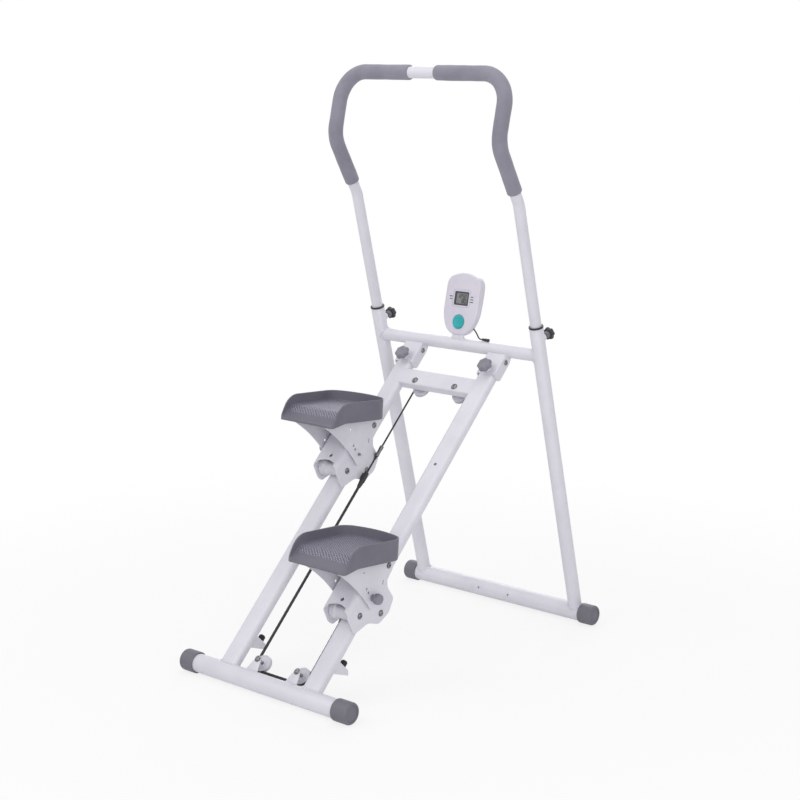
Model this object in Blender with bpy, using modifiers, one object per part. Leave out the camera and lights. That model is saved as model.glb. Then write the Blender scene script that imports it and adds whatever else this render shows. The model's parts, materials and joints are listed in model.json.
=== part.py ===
"""Folding stair stepper: a two-legged rear frame with a telescoping handlebar, and a hinged ladder of two
rails on which two pedal carriages run, tied by a cable so that one climbs as the other sinks.

Metres. +X is the user's right, +Y points from the user to the rear base, +Z is up. The origin is on the
floor, midway between the two base tubes. On the ladder, y runs up the rails and z stands square to them.
"""

import math

import bmesh
import bpy
from mathutils import Matrix, Vector

# Stance
WHEELBASE = 0.888
LEG_ANGLE = math.radians(75.5)
CROSSBAR_RISE = 0.700
GAP = 0.0003
FIT = 0.0004
SHEET = 0.0026

# Base tubes and their caps
BASE_RADIUS = 0.0225
BASE_WALL = 0.0016
FRONT_TUBE_LENGTH = 0.508
REAR_TUBE_LENGTH = 0.600
CAP_RADIUS = 0.026
CAP_END = 0.012
CAP_ROUNDING = 0.004
FRONT_CAP_SLEEVE = 0.032
REAR_CAP_SLEEVE = 0.028
CAP_LAND = 0.0006
REAR_HOLE_SPACING = 0.098
REAR_HOLE_RADIUS = 0.0024

# Legs, crossbar and handlebar
LEG_INSET = 0.047
LEG_RADIUS = 0.0175
LEG_WALL = 0.0015
SLEEVE_RISE = 0.771
CROSSBAR_RADIUS = 0.016
CROSSBAR_WALL = 0.0015
HANDLE_RADIUS = 0.014
HANDLE_IN_SLEEVE = 0.30
KICK_RISE = 1.0746
KICK_REACH = 0.083
KICK_HEIGHT = 0.143
TOP_RETURN = 0.038
TOP_HEIGHT = 0.1575
TOP_BEND_RADIUS = 0.072
KICK_BEND_RADIUS = 0.075
GRIP_RADIUS = 0.0192
GRIP_START = 0.032
GRIP_MIDDLE_GAP = 0.080
COLLAR_RADIUS = 0.0183
COLLAR_HEIGHT = 0.010
COLLAR_DEPTH = 0.026
CHAMFER = 0.001

# Star knobs
KNOB_LOBES = 7
HEIGHT_KNOB_RADIUS = 0.0160
HEIGHT_KNOB_DROP = 0.033
HEIGHT_KNOB_REACH = 0.040
KNOB_THICKNESS = 0.015
KNOB_EDGE = 0.0020
HEIGHT_KNOB_BOSS = 0.0100
LOCK_KNOB_BOSS = 0.0040
LOCK_KNOB_RADIUS = 0.0195
LOCK_KNOB_REACH = 0.027
STUD_RADIUS = 0.0038
NUT_RADIUS = 0.0085
NUT_LENGTH = 0.007

# Ladder
RAIL_SPACING = 0.132
RAIL_WIDTH = 0.050
RAIL_DEPTH = 0.025
RAIL_CORNER = 0.010
RAIL_WALL = 0.0018
CROSSBAR_STANDOFF = 0.00896
PIVOT_DROP = 0.0288
LOCK_DROP = 0.036
BRACKET_FOOT_DROP = 0.052
BRACKET_BACK = 0.0145
BRACKET_ROUND = 0.010
PLATE_BEND = 0.005
PIVOT_RADIUS = 0.0040
CROSS_PLATE_DROP = 0.090
CROSS_PLATE_HEIGHT = 0.046
CROSS_PLATE_BACK = -0.009
CROSS_PLATE_FRONT = 0.0132
PLUG_T = 0.644
PLUG_RADIUS = 0.004

# Drive cable and its pulleys
CABLE_X = 0.0825
CABLE_H = -0.025
ROPE_RADIUS = 0.0036
WIRE_RADIUS = 0.0022
PULLEY_PITCH = 0.0195
PULLEY_RADIUS = 0.0215
PULLEY_WIDTH = 0.0100
PULLEY_RIM = 0.0007
GROOVE_HALF = 0.0018
NUT_HEIGHT = 0.004
ROPE_TAPER = 0.004
TOP_PULLEY_DROP = 0.100
BOTTOM_PULLEY_T = 0.0540
TAB_HEAD = 0.0090
TAB_FOOT = 0.0210

# Bumpers at the foot of the rails
BUMPER_T = 0.113
BUMPER_H = -0.048
BUMPER_RADIUS = 0.0080
BUMPER_HEIGHT = 0.0160
BUMPER_STEM_RADIUS = BUMPER_RADIUS / 3
WEDGE_FOOT_T = 0.078
WEDGE_BACK = -0.066
WEDGE_WIDTH = 0.030
WEDGE_ROUND = 0.004
WEDGE_CHAMFER = 0.010

# Carriages, measured from the front roller's axle
REST_OFFSET = 0.177
TRAVEL_MIDDLE_T = 0.3907
ROLLER_WAIST = 0.0170
ROLLER_END = 0.0225
ROLLER_HALF = 0.0360
ROLLER_FLAT = 0.0150
AXLE_RADIUS = 0.0040
REAR_AXLE_T = 0.0437
PLATE_INSIDE = 0.0378
WEB_FRONT = 0.0400
WEB_BEND = 0.0130
WEB_TOP_T = 0.090
WEB_TOP_HALF = 0.030
WEB_TOP_ROUND = 0.010
ARCH_HALF = 0.027
ARCH_T = -0.006
ARCH_CROWN = 0.0025
ARCH_ROUND = 0.045
CHEEK_SLIT = 0.004
CHEEK_SLIT_T = -0.021
WEB_HOLE_T = 0.010
WEB_HOLE_RADIUS = 0.0028
HINGE_T = 0.136
HINGE_H = 0.0075
FERRULE_START = -0.010
FERRULE_END = 0.034
FERRULE_RADIUS = 0.0062
LUG_START = 0.014
LUG_HALF = 0.004
EYE_T = 0.085
EYE_H = -0.063
EYE_LENGTH = 0.030
EYE_WALL = 0.0012
EYE_RADIUS = 0.0060
EYE_HEIGHT = 0.0030
EYE_LUG_LENGTH = 0.008
HEAD_RADIUS = 0.0066
HEAD_HEIGHT = 0.0036

# Pedals, level at rest, measured from their hinge
CHEEK_INSIDE = 0.0462
PIN_T = 0.050
PIN_H = 0.003
PIN_RADIUS = 0.0032
PIN_KNOB_RADIUS = 0.0130
PIN_KNOB_LENGTH = 0.0170
PIN_COLLAR_RADIUS = 0.0080
PIN_COLLAR_LENGTH = 0.0080
PIN_TIP = 0.0060
PIN_KNOB_ROUND = 0.0045
INDEX_ANGLES = (170.0, 162.0, 133.5)
INDEX_RADIUS = 0.0026
CHEEK_TOE_Y = 0.0160
CHEEK_TOE_Z = -0.0080
CHEEK_TOE_ROUND = 0.012
CHEEK_LIP = Vector((-0.1830, 0.0262))
CHEEK_HOLLOW = Vector((-0.1120, -0.0200))
CHEEK_TIP_T = 0.0270
CHEEK_TIP_H = -0.0120
CHEEK_TIP_ROUND = 0.006
CHEEK_FOOT_T = 0.052
CHEEK_HEEL_T = 0.092
CHEEK_HEEL_ROUND = 0.030
CHEEK_EDGE_H = -0.014
SPARE_HOLE_T = 0.096
SPARE_HOLE_H = -0.0033
PIN_WAY = 0.030
PIN_WAY_FLARE = 0.0085
TRAY_TILT = math.radians(4.7)
TRAY_HALF_WIDTH = 0.091
TRAY_TAPER = 0.021
TRAY_CORNER = 0.040
TRAY_HEEL = -0.1955
TRAY_SHOULDER = -0.0035
TRAY_TOE = 0.0265
TRAY_RISE = 0.0223
TRAY_HEIGHT = 0.0500
TRAY_WALL = 0.0034
TRAY_FLOOR = 0.0245
TRAY_LIP = 0.0100
TRAY_APRON = 0.046
TRAY_RIM_REACH = 0.0285
TRAY_RIB_X = 0.0315
TRAY_HEEL_ROUND = 0.008
APRON_FOOT = -0.0035
APRON_EASE = 0.004
APRON_ROUND = 0.030
RIM_ROUND = 0.050
RIM_HEEL_Z = -0.0055

# Console
CONSOLE_WIDTH = 0.109
CONSOLE_HEIGHT = 0.158
CONSOLE_DEPTH = 0.025
CONSOLE_FOOT_DEPTH = 0.0155
CONSOLE_EDGE = 0.0035
NECK_HALF_WIDTH = 0.018
NECK_HALF_DEPTH = 0.004
NECK_ROUND = 0.003
NECK_IN_CASE = 0.011
CONSOLE_FOOT_ROUND = 0.042
CONSOLE_FLANK_Z = 0.048
CONSOLE_FLANK_ROUND = 0.100
CONSOLE_SHOULDER_DROP = 0.0128
CONSOLE_SHOULDER_ROUND = 0.028
CONSOLE_CROWN = 0.0042
CONSOLE_CROWN_ROUND = 0.080
CONSOLE_THICK_RISE = 0.120
CONSOLE_RISE = 0.022
CONSOLE_LEAN = math.radians(12.0)
SCREEN_WIDTH = 0.044
SCREEN_HEIGHT = 0.034
SCREEN_RISE = 0.115
SCREEN_RECESS = 0.0015
BUTTON_RADIUS = 0.0180
BUTTON_RISE = 0.056
BUTTON_RECESS = 0.0070
BUTTON_PROUD = 0.0020
BUTTON_TRAVEL = 0.003
SCREEN_CORNER = 0.003
LEAD_RADIUS = 0.0017
LEAD_OUTLET_X = 0.030
LEAD_OUTLET_RISE = 0.030
LEAD_STRAIGHT = 0.016
CONNECTOR_X = 0.075
CONNECTOR_LENGTH = 0.022
CONNECTOR_RADIUS = 0.0038

SIDES = {"left": -1, "right": 1}
DRILL = 0.2
BEND_STEP = math.radians(19.0)

# Lines that follow from the sizes above
BASE_Z = CAP_RADIUS - CAP_LAND
FRONT_BASE = Vector((0, -WHEELBASE / 2, BASE_Z))
REAR_BASE = Vector((0, WHEELBASE / 2, BASE_Z))
LEG_DIRECTION = Vector((0, -math.cos(LEG_ANGLE), math.sin(LEG_ANGLE)))
LEG_REAR = Vector((0, math.sin(LEG_ANGLE), math.cos(LEG_ANGLE)))
SLEEVE_LENGTH = SLEEVE_RISE / math.sin(LEG_ANGLE)
LEG_LEAN = math.pi / 2 - LEG_ANGLE
CROSSBAR_CENTRE = REAR_BASE + LEG_DIRECTION * (CROSSBAR_RISE / math.sin(LEG_ANGLE))
LADDER_RUN = CROSSBAR_CENTRE - FRONT_BASE
LADDER_ANGLE = math.atan2(LADDER_RUN.z, LADDER_RUN.y) - math.asin(CROSSBAR_STANDOFF / LADDER_RUN.length)
CROSSBAR_T = math.sqrt(LADDER_RUN.length ** 2 - CROSSBAR_STANDOFF ** 2)
CROSSBAR_ON_LADDER = Vector((0, CROSSBAR_T, CROSSBAR_STANDOFF))
PIVOT_T = CROSSBAR_T - PIVOT_DROP
LOCK_T = PIVOT_T - LOCK_DROP
BRACKET_FOOT_T = PIVOT_T - BRACKET_FOOT_DROP
CROSS_PLATE_T = PIVOT_T - CROSS_PLATE_DROP
TOP_PULLEY_T = PIVOT_T - TOP_PULLEY_DROP
LEG_SPACING = REAR_TUBE_LENGTH / 2 - LEG_INSET
ROLLER_H = RAIL_DEPTH / 2 + GAP + ROLLER_WAIST
PLATE_OUTSIDE = PLATE_INSIDE + SHEET
CHEEK_OUTSIDE = CHEEK_INSIDE + SHEET
CABLE_OFFSET = RAIL_SPACING - CABLE_X
REAR_FACE = -RAIL_DEPTH / 2

for old in list(bpy.data.objects):
    bpy.data.objects.remove(old, do_unlink=True)

parts = bpy.data.collections.new("stair_stepper")
cutters = bpy.data.collections.new("cutters")
bpy.context.scene.collection.children.link(parts)
bpy.context.scene.collection.children.link(cutters)
cutters.hide_render = True


def finish(name, colour, roughness, metallic=0.0):
    made = bpy.data.materials.new(name)
    made.use_nodes = True
    shader = made.node_tree.nodes["Principled BSDF"]
    shader.inputs["Base Color"].default_value = (*colour, 1.0)
    shader.inputs["Roughness"].default_value = roughness
    shader.inputs["Metallic"].default_value = metallic
    made.diffuse_color = (*colour, 1.0)
    return made


WHITE_PAINT = finish("white_powder_coat", (0.78, 0.77, 0.80), 0.38)
GREY_PLASTIC = finish("grey_moulded_plastic", (0.19, 0.18, 0.21), 0.55)
TRAY_PLASTIC = finish("pedal_plastic", (0.17, 0.16, 0.20), 0.60)
FOAM = finish("grey_foam", (0.24, 0.23, 0.27), 0.85)
BLACK_PLASTIC = finish("black_plastic", (0.020, 0.020, 0.022), 0.50)
BLACK_ROPE = finish("black_rope", (0.015, 0.015, 0.018), 0.70)
RUBBER = finish("black_rubber", (0.018, 0.018, 0.020), 0.80)
STEEL = finish("zinc_steel", (0.60, 0.60, 0.62), 0.30, 1.0)
WHITE_NYLON = finish("white_nylon", (0.70, 0.69, 0.72), 0.45)
WHITE_HOUSING = finish("white_abs", (0.74, 0.72, 0.77), 0.35)
TEAL = finish("teal_button", (0.03, 0.42, 0.46), 0.40)
SCREEN_GLASS = finish("screen", (0.10, 0.11, 0.11), 0.15)


def empty(name, location, parent=None, turn=0.0):
    made = bpy.data.objects.new(name, None)
    parts.objects.link(made)
    made.parent = parent
    made.location = location
    made.rotation_euler = (turn, 0, 0)
    return made


def place(made, parent, location=(0, 0, 0), turn=(0, 0, 0)):
    made.parent = parent
    made.location = location
    made.rotation_euler = turn
    return made


def add_object(name, data, material=None):
    """A node where it is given a material, and a cutter where it isn't."""
    made = bpy.data.objects.new(name, data)
    (parts if material else cutters).objects.link(made)
    if material:
        data.materials.append(material)
    else:
        made.hide_render = True
        made.display_type = "WIRE"
    return made


def mesh_of(made):
    """Turns a curve or a modified object into a plain closed mesh object of the same name and place."""
    bpy.context.view_layer.update()
    graph = bpy.context.evaluated_depsgraph_get()
    mesh = bpy.data.meshes.new_from_object(made.evaluated_get(graph))
    shape = bmesh.new()
    shape.from_mesh(mesh)
    bmesh.ops.remove_doubles(shape, verts=shape.verts, dist=0.000001)
    bmesh.ops.recalc_face_normals(shape, faces=shape.faces)
    shape.to_mesh(mesh)
    shape.free()
    name, matrix = made.name, made.matrix_world.copy()
    material = made.data.materials[0] if made.data.materials else None
    bpy.data.objects.remove(made, do_unlink=True)
    mesh.materials.clear()
    fresh = add_object(name, mesh, material)
    fresh.matrix_world = matrix
    mesh.shade_smooth()
    mesh.set_sharp_from_angle(angle=math.radians(35))
    return fresh


def turned(name, profile, material=None, ring=False, steps=24):
    """A profile of (radius, z), listed from its top down its outer side, swept once round Z."""
    mesh = bpy.data.meshes.new(name)
    edges = [(i, i + 1) for i in range(len(profile) - 1)]
    if ring:
        edges.append((len(profile) - 1, 0))
    mesh.from_pydata([(radius, 0, z) for radius, z in profile], edges, [])
    made = add_object(name, mesh, material)
    screw = made.modifiers.new("Turn", "SCREW")
    screw.steps = steps
    screw.render_steps = steps
    screw.use_merge_vertices = True
    screw.merge_threshold = 0.00001
    return mesh_of(made)


def rod(name, radius, bottom, top, material=None, steps=24):
    return turned(name, [(0, top), (radius, top), (radius, bottom), (0, bottom)], material, steps=steps)


def pipe(name, outer, inner, bottom, top, material=None, steps=20):
    profile = [(outer, top), (outer, bottom), (inner, bottom), (inner, top)]
    return turned(name, profile, material, ring=True, steps=steps)


def block(name, low, high, material=None):
    shape = bmesh.new()
    bmesh.ops.create_cube(shape, size=1.0)
    bmesh.ops.scale(shape, vec=[b - a for a, b in zip(low, high)], verts=shape.verts)
    bmesh.ops.translate(shape, vec=[(a + b) / 2 for a, b in zip(low, high)], verts=shape.verts)
    mesh = bpy.data.meshes.new(name)
    shape.to_mesh(mesh)
    shape.free()
    return add_object(name, mesh, material)


def plate(name, outlines, bottom, top, material=None):
    """Flat outlines of (x, y), the inner ones holes, given a thickness from bottom to top along Z."""
    curve = bpy.data.curves.new(name, "CURVE")
    curve.dimensions = "2D"
    curve.fill_mode = "BOTH"
    curve.extrude = (top - bottom) / 2
    for outline in outlines:
        spline = curve.splines.new("POLY")
        spline.points.add(len(outline) - 1)
        for point, (x, y) in zip(spline.points, outline):
            point.co = (x, y, 0, 1)
        spline.use_cyclic_u = True
    made = mesh_of(add_object(name, curve, material))
    made.data.transform(Matrix.Translation((0, 0, (top + bottom) / 2)))
    return made


# Each sends a plate's (x, y, thickness) to the object's own axes
SIDE_VIEW = Matrix(((0, 0, 1, 0), (1, 0, 0, 0), (0, 1, 0, 0), (0, 0, 0, 1)))
END_VIEW = Matrix(((1, 0, 0, 0), (0, 0, -1, 0), (0, 1, 0, 0), (0, 0, 0, 1)))


def side_plate(name, outlines, left, right, material=None):
    """Outlines of (y, z), given a thickness across X."""
    made = plate(name, outlines, left, right, material)
    made.data.transform(SIDE_VIEW)
    return made


def end_plate(name, outlines, near, far, material=None):
    """Outlines of (x, z), given a thickness along Y."""
    made = plate(name, outlines, -far, -near, material)
    made.data.transform(END_VIEW)
    return made


def moved(made, location):
    made.data.transform(Matrix.Translation(location))
    return made


def aimed(made, direction, location=(0, 0, 0)):
    """Points the object's Z along a direction, in its mesh, and moves it."""
    made.data.transform(Vector((0, 0, 1)).rotation_difference(Vector(direction)).to_matrix().to_4x4())
    return moved(made, location)


def combine(made, operation, others):
    for other in others:
        step = made.modifiers.new(operation.capitalize(), "BOOLEAN")
        step.operation = operation
        step.solver = "EXACT"
        step.object = other
    fresh = mesh_of(made)
    for other in others:
        bpy.data.objects.remove(other, do_unlink=True)
    return fresh


def cut(made, *others):
    return combine(made, "DIFFERENCE", others)


def join(made, *others):
    return combine(made, "UNION", others)


def within(made, *others):
    return combine(made, "INTERSECT", others)


def mirrored(made):
    """The same shape for the other side, mirrored across X."""
    made.data.transform(Matrix.Scale(-1, 4, (1, 0, 0)))
    made.data.flip_normals()
    return made


def arc(centre, radius, start, end, count):
    """Points on an arc, both ends included, at angles in degrees."""
    angles = [math.radians(start + (end - start) * i / (count - 1)) for i in range(count)]
    return [(centre[0] + radius * math.cos(a), centre[1] + radius * math.sin(a)) for a in angles]


def rounded(corners, count=4):
    """A closed outline from (x, y, radius): each corner becomes an arc that is tangent to both its sides."""
    made = []
    for i, (x, y, radius) in enumerate(corners):
        corner = Vector((x, y))
        before = (Vector(corners[i - 1][:2]) - corner).normalized()
        after = (Vector(corners[(i + 1) % len(corners)][:2]) - corner).normalized()
        if not radius:
            made.append((x, y))
            continue
        half = before.angle(after) / 2
        middle = corner + (before + after).normalized() * (radius / math.sin(half))
        first = corner + before * (radius / math.tan(half)) - middle
        last = corner + after * (radius / math.tan(half)) - middle
        swing = math.atan2(first.x * last.y - first.y * last.x, first.dot(last))
        for k in range(count):
            made.append(tuple(middle + Matrix.Rotation(swing * k / (count - 1), 2) @ first))
    return made


def rounded_box(half_width, half_height, radius, count=5):
    signs = ((1, -1), (1, 1), (-1, 1), (-1, -1))
    return rounded([(x * half_width, y * half_height, radius) for x, y in signs], count)


def bent(corners, radii):
    """A line in space whose inner corners are replaced by arcs that are tangent to both their sides."""
    made = [corners[0]]
    for i, radius in enumerate(radii, start=1):
        corner = corners[i]
        before = (corners[i - 1] - corner).normalized()
        after = (corners[i + 1] - corner).normalized()
        half = before.angle(after) / 2
        middle = corner + (before + after).normalized() * (radius / math.sin(half))
        first = corner + before * (radius / math.tan(half)) - middle
        last = corner + after * (radius / math.tan(half)) - middle
        swing, axis = first.angle(last), first.cross(last).normalized()
        steps = math.ceil(swing / BEND_STEP)
        for k in range(steps + 1):
            made.append(middle + Matrix.Rotation(swing * k / steps, 3, axis) @ first)
    made.append(corners[-1])
    return made


def bar(name, points, radius, resolution, material=None, radii=None):
    """A round bar along a line; with radii, a closed loop whose thickness changes along it."""
    curve = bpy.data.curves.new(name, "CURVE")
    curve.dimensions = "3D"
    curve.bevel_depth = radius
    curve.bevel_resolution = resolution
    curve.use_fill_caps = not radii
    spline = curve.splines.new("POLY")
    spline.points.add(len(points) - 1)
    for i, (point, position) in enumerate(zip(spline.points, points)):
        point.co = (*position, 1)
        point.radius = radii[i] / radius if radii else 1.0
    spline.use_cyclic_u = bool(radii)
    return mesh_of(add_object(name, curve, material))


def head(height=HEAD_HEIGHT, radius=HEAD_RADIUS, material=None, name="head"):
    """A domed bolt head standing on z = 0, with a hexagon socket."""
    profile = [(0, height), (radius * 0.70, height), (radius, height * 0.4), (radius, 0), (0, 0)]
    made = turned(name, profile, material, steps=8)
    return cut(made, rod("socket", radius * 0.42, height * 0.4, height * 2, steps=6))


def bolt(name, radius, half_length, material=STEEL):
    """A bolt along X with a domed head at each end, half_length being half its grip."""
    shank = aimed(rod(name, radius, -half_length, half_length, material, steps=8), (1, 0, 0))
    heads = [aimed(head(), (end, 0, 0), (end * (half_length - GAP), 0, 0)) for end in (1, -1)]
    return join(shank, *heads)


def star_knob(name, radius, stem_end, boss_length, material):
    """A lobed head standing on z = 0, its boss and threaded stud below it down to stem_end."""
    count = KNOB_LOBES * 4
    reaches = [radius * (0.91 + 0.09 * math.cos(2 * math.pi * i / 4)) for i in range(count)]
    outline = [(r * math.cos(2 * math.pi * i / count), r * math.sin(2 * math.pi * i / count))
               for i, r in enumerate(reaches)]
    made = plate(name, [outline], 0, KNOB_THICKNESS, material)
    edge = made.modifiers.new("Edge", "BEVEL")
    edge.width = KNOB_EDGE
    edge.segments = 1
    edge.limit_method = "ANGLE"
    edge.angle_limit = math.radians(60)
    boss = rod("boss", radius * 0.58, -boss_length, KNOB_EDGE, steps=14)
    stud = rod("stud", STUD_RADIUS, stem_end, KNOB_EDGE / 2, steps=8)
    return join(made, boss, stud)


# Base tubes and caps
def base_tube(name, centre, length, holes=()):
    made = aimed(pipe(name, BASE_RADIUS, BASE_RADIUS - BASE_WALL, -length / 2, length / 2, WHITE_PAINT, 24),
                 (1, 0, 0))
    if holes:
        aim = Vector((0, -1, 0.25)).normalized()
        made = cut(made, *[aimed(rod("drill", REAR_HOLE_RADIUS, BASE_RADIUS / 2, BASE_RADIUS * 2, steps=10),
                                 aim, (x, 0, 0)) for x in holes])
    return place(made, None, centre)


def base_cap(name, side, centre, tube_length, sleeve):
    """A plastic cup pushed over a base tube's end, with a flat land under it to stand on."""
    bore = BASE_RADIUS + GAP
    profile = [(0, CAP_END), (CAP_RADIUS - CAP_ROUNDING, CAP_END), (CAP_RADIUS, CAP_END - CAP_ROUNDING),
               (CAP_RADIUS, -sleeve), (bore, -sleeve), (bore, GAP), (0, GAP)]
    made = aimed(turned(name, profile, GREY_PLASTIC, steps=20), (SIDES[side], 0, 0))
    made = cut(made, block("land", (-DRILL, -DRILL, -DRILL), (DRILL, DRILL, -BASE_Z)))
    return place(made, None, centre + Vector((SIDES[side] * tube_length / 2, 0, 0)))


hole_xs = (-REAR_HOLE_SPACING / 2, REAR_HOLE_SPACING / 2)
base_tube("rear_base_tube", REAR_BASE, REAR_TUBE_LENGTH, hole_xs)
for side in SIDES:
    base_cap(f"rear_cap_{side}", side, REAR_BASE, REAR_TUBE_LENGTH, REAR_CAP_SLEEVE)


# Legs, their collars and knobs, and the crossbar
def foot_of(side):
    return REAR_BASE + Vector((SIDES[side] * LEG_SPACING, 0, 0))


def leg(side):
    """A sleeve tube, coped to the base tube, with the clamp knob's nut welded behind it."""
    made = pipe(f"{side}_leg", LEG_RADIUS, LEG_RADIUS - LEG_WALL, 0, SLEEVE_LENGTH, WHITE_PAINT)
    nut_z = SLEEVE_LENGTH - HEIGHT_KNOB_DROP
    nut = rod("nut", NUT_RADIUS, LEG_RADIUS - LEG_WALL / 2, LEG_RADIUS + NUT_LENGTH, steps=6)
    made = join(made, aimed(nut, (0, 1, 0), (0, 0, nut_z)))
    thread = rod("thread", STUD_RADIUS + FIT, LEG_RADIUS / 2, LEG_RADIUS * 2, steps=12)
    base = aimed(rod("base", BASE_RADIUS + GAP, -LEG_RADIUS * 2, LEG_RADIUS * 2, steps=24), (1, 0, 0))
    made = cut(made, aimed(thread, (0, 1, 0), (0, 0, nut_z)), base)
    return place(made, None, foot_of(side), (LEG_LEAN, 0, 0))


def sleeve_collar(side):
    """The plastic bush in a sleeve's mouth that the handlebar slides in."""
    bore = HANDLE_RADIUS + FIT
    plug = LEG_RADIUS - LEG_WALL - GAP
    profile = [(bore, COLLAR_HEIGHT), (COLLAR_RADIUS - CHAMFER, COLLAR_HEIGHT),
               (COLLAR_RADIUS, COLLAR_HEIGHT - CHAMFER), (COLLAR_RADIUS, GAP), (plug, GAP),
               (plug, -COLLAR_DEPTH), (bore, -COLLAR_DEPTH)]
    made = turned(f"{side}_sleeve_collar", profile, BLACK_PLASTIC, ring=True, steps=16)
    return place(made, None, foot_of(side) + LEG_DIRECTION * SLEEVE_LENGTH, (LEG_LEAN, 0, 0))


def height_knob(side):
    tip = HANDLE_RADIUS + FIT - HEIGHT_KNOB_REACH
    made = star_knob(f"{side}_height_knob", HEIGHT_KNOB_RADIUS, tip, HEIGHT_KNOB_BOSS, BLACK_PLASTIC)
    clamp = foot_of(side) + LEG_DIRECTION * (SLEEVE_LENGTH - HEIGHT_KNOB_DROP)
    return place(made, None, clamp + LEG_REAR * HEIGHT_KNOB_REACH, (LEG_LEAN - math.pi / 2, 0, 0))


def crossbar():
    bore = CROSSBAR_RADIUS - CROSSBAR_WALL
    made = pipe("crossbar", CROSSBAR_RADIUS, bore, -LEG_SPACING, LEG_SPACING, WHITE_PAINT)
    made = aimed(made, (1, 0, 0))
    copes = [aimed(rod("cope", LEG_RADIUS + GAP, -CROSSBAR_RADIUS * 2, CROSSBAR_RADIUS * 2), LEG_DIRECTION,
                   (SIDES[side] * LEG_SPACING, 0, 0)) for side in SIDES]
    inlet = rod("inlet", CONNECTOR_RADIUS, 0, CROSSBAR_RADIUS * 2, steps=12)
    made = cut(made, moved(inlet, (CONNECTOR_X + CONNECTOR_LENGTH - CONNECTOR_RADIUS, 0, 0)), *copes)
    return place(made, None, CROSSBAR_CENTRE)


for side in SIDES:
    leg(side)
    sleeve_collar(side)
    height_knob(side)
crossbar()


# Handlebar and foam grips
KICK_START = foot_of("right") + LEG_DIRECTION * (KICK_RISE / math.sin(LEG_ANGLE))
KICK_END = Vector((LEG_SPACING, KICK_REACH, KICK_START.z + KICK_HEIGHT))
TOP_CORNER = KICK_END + Vector((0, TOP_RETURN, TOP_HEIGHT))


def handlebar():
    inside = foot_of("right") + LEG_DIRECTION * (SLEEVE_LENGTH - HANDLE_IN_SLEEVE)
    middle = Vector((0, TOP_CORNER.y, TOP_CORNER.z))
    right = bent([inside, KICK_START, KICK_END, TOP_CORNER, middle],
                 [KICK_BEND_RADIUS, KICK_BEND_RADIUS, TOP_BEND_RADIUS])[:-1]
    left = [Vector((-p.x, p.y, p.z)) for p in reversed(right)]
    made = bar("handlebar", right + left, HANDLE_RADIUS, 3, WHITE_PAINT)
    past_end = [right[0] - LEG_DIRECTION * HANDLE_RADIUS]
    past_end.append(Vector((-past_end[0].x, past_end[0].y, past_end[0].z)))
    bore_line = past_end[:1] + right[1:] + left[:-1] + past_end[1:]
    return cut(made, bar("bore", bore_line, HANDLE_RADIUS - LEG_WALL, 2))


def grip_line(over):
    """The handlebar's own line between the grip's ends, run on by this much past each end."""
    rise = (KICK_END - KICK_START).normalized()
    start = KICK_START + rise * (GRIP_START - over)
    end = Vector((GRIP_MIDDLE_GAP / 2 - over, TOP_CORNER.y, TOP_CORNER.z))
    return bent([start, KICK_END, TOP_CORNER, end], [KICK_BEND_RADIUS, TOP_BEND_RADIUS])


def foam_grip(side):
    made = bar(f"{side}_grip", grip_line(0.0), GRIP_RADIUS, 3, FOAM)
    made = cut(made, bar("bore", grip_line(GRIP_START / 2), HANDLE_RADIUS + FIT, 3))
    return mirrored(made) if side == "left" else made


handlebar()
for side in SIDES:
    foam_grip(side)

# Ladder: the front base tube, the rails and what is welded to them
ladder = empty("ladder", FRONT_BASE, None, LADDER_ANGLE)
cos, sin = math.cos(LADDER_ANGLE), math.sin(LADDER_ANGLE)

base_tube("front_base_tube", FRONT_BASE, FRONT_TUBE_LENGTH)
for side in SIDES:
    base_cap(f"front_cap_{side}", side, FRONT_BASE, FRONT_TUBE_LENGTH, FRONT_CAP_SLEEVE)


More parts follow.
